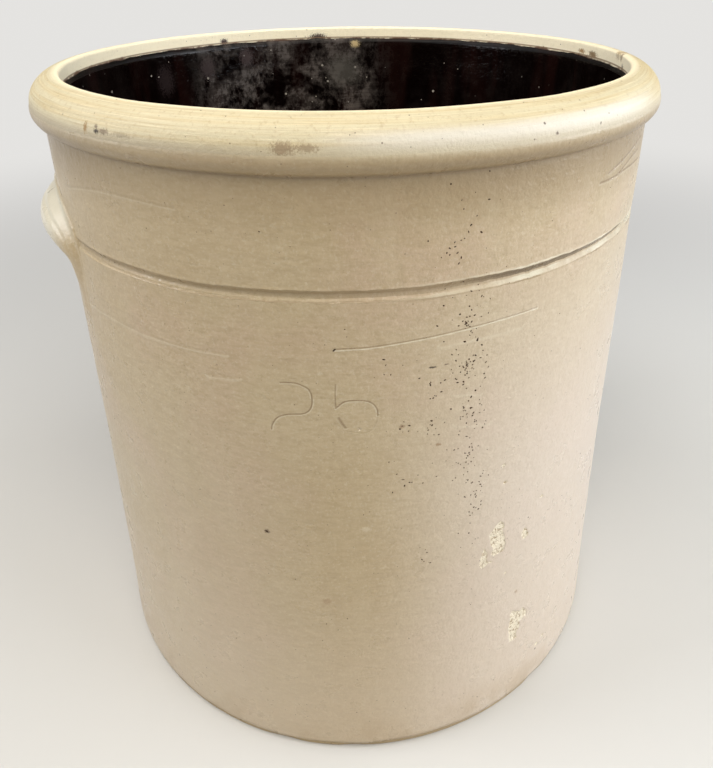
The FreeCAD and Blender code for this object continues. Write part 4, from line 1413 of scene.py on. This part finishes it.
# %% Put the finishes on
for piece, finish in ((pale_glaze_skin, cream_glaze), (right_ear, cream_glaze),
                      (left_ear, cream_glaze), (glaze_pits, burnt_iron), (rim_roll, wiped_rim),
                      (dark_slip_lining, dark_slip), (clay_foot, bare_clay)):
    piece.data.materials.append(finish)
for node_name in ("lower_wall", "upper_wall"):
    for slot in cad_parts[node_name].material_slots:
        slot.material = bare_clay
print("finishes:", [material.name for material in bpy.data.materials])

# %% [markdown]
# ## Stage and light
#
# The photograph was lit by a broad soft source overhead and another on the right, which lays a
# wide pale sheen on that side and leaves the left and the underside of the rim in soft shade.
# Five soft area lamps do the same here: a strong one low on the right, a weaker one on the left,
# one in front from above, a small one overhead, and one over the back left of the rim. The
# floor looks pale to the camera and throws back about as much light as it shows, a little
# warmer, and far off it looks like an even pale glow. The background throws back almost no light.

# %% Floor and background
FLOOR_LIT, FLOOR_SEEN = (0.72, 0.68, 0.60, 1), (0.69, 0.68, 0.66, 1)
FLOOR_FAR = (0.78, 0.77, 0.75, 1)
WORLD_LIGHT, WORLD_SEEN = (0.02, 0.02, 0.02, 1), (0.88, 0.88, 0.87, 1)
floor_bm = bmesh.new()
bmesh.ops.create_grid(floor_bm, x_segments=8, y_segments=8, size=12)
floor_mesh = bpy.data.meshes.new("studio_floor")
floor_bm.to_mesh(floor_mesh)
floor_bm.free()
studio_floor = add_object("studio_floor", floor_mesh)
floor_finish, w, shader, place = new_material("studio_floor")
path = w.add("LightPath").outputs
seen = w.math("MAXIMUM", path["Is Camera Ray"], path["Is Glossy Ray"])
seen = w.math("MAXIMUM", seen, path["Is Transmission Ray"])
floor_look = w.fill(shader, {"Base Color": w.mix(seen, FLOOR_LIT, FLOOR_SEEN),
                             "Roughness": 0.9, "Specular IOR Level": 0.1})
glow = w.fill(w.add("Emission"), {"Color": FLOOR_FAR})
far_off = w.ramp(w.vector_math("LENGTH", place), 0.35, 2.2)
backdrop = w.fill(w.add("MixShader"), {0: w.times(far_off, seen), 1: floor_look[0], 2: glow[0]})
w.fill(w.nodes["Material Output"], {"Surface": backdrop[0]})
floor_mesh.materials.append(floor_finish)

world = bpy.data.worlds.new("studio")
bpy.context.scene.world = world
world.use_nodes = True
w = Wiring(world.node_tree)
path = w.add("LightPath").outputs
seen = w.math("MAXIMUM", path["Is Camera Ray"], path["Is Transmission Ray"])
w.fill(w.nodes["Background"], {"Color": w.mix(seen, WORLD_LIGHT, WORLD_SEEN), "Strength": 1.0})
print("floor and background are in place")


# %% Lamps
def softbox(name, azimuth, distance, height, width, depth, power, colour):
    """Area lamp that looks at the middle of the crock."""
    lamp_data = bpy.data.lights.new(name, "AREA")
    lamp_data.shape = "RECTANGLE"
    lamp_data.size, lamp_data.size_y = width, depth
    lamp_data.energy = power
    lamp_data.color = colour
    lamp = add_object(name, lamp_data)
    lamp.location = on_circle(azimuth, distance, height)
    lamp.rotation_euler = (Vector((0, 0, 0.35)) - lamp.location).to_track_quat("-Z", "Y").to_euler()


softbox("right_softbox", -28, 1.7, 0.84, 2.0, 0.9, 35.0, (0.89, 0.94, 1.0))
softbox("left_softbox", 178, 1.8, 1.2, 0.9, 1.2, 19, (0.92, 0.95, 1.0))
softbox("front_softbox", -100, 1.3, 2.0, 1.4, 0.8, 17.7, (1.0, 0.935, 0.80))
softbox("overhead_softbox", -100, 0.25, 1.5, 0.9, 0.9, 6.2, (1.0, 0.93, 0.79))
softbox("back_left_softbox", 160, 0.9, 1.9, 1.0, 1.0, 10, (1.0, 0.99, 0.97))
print("lamps: %d" % len(bpy.data.lights))
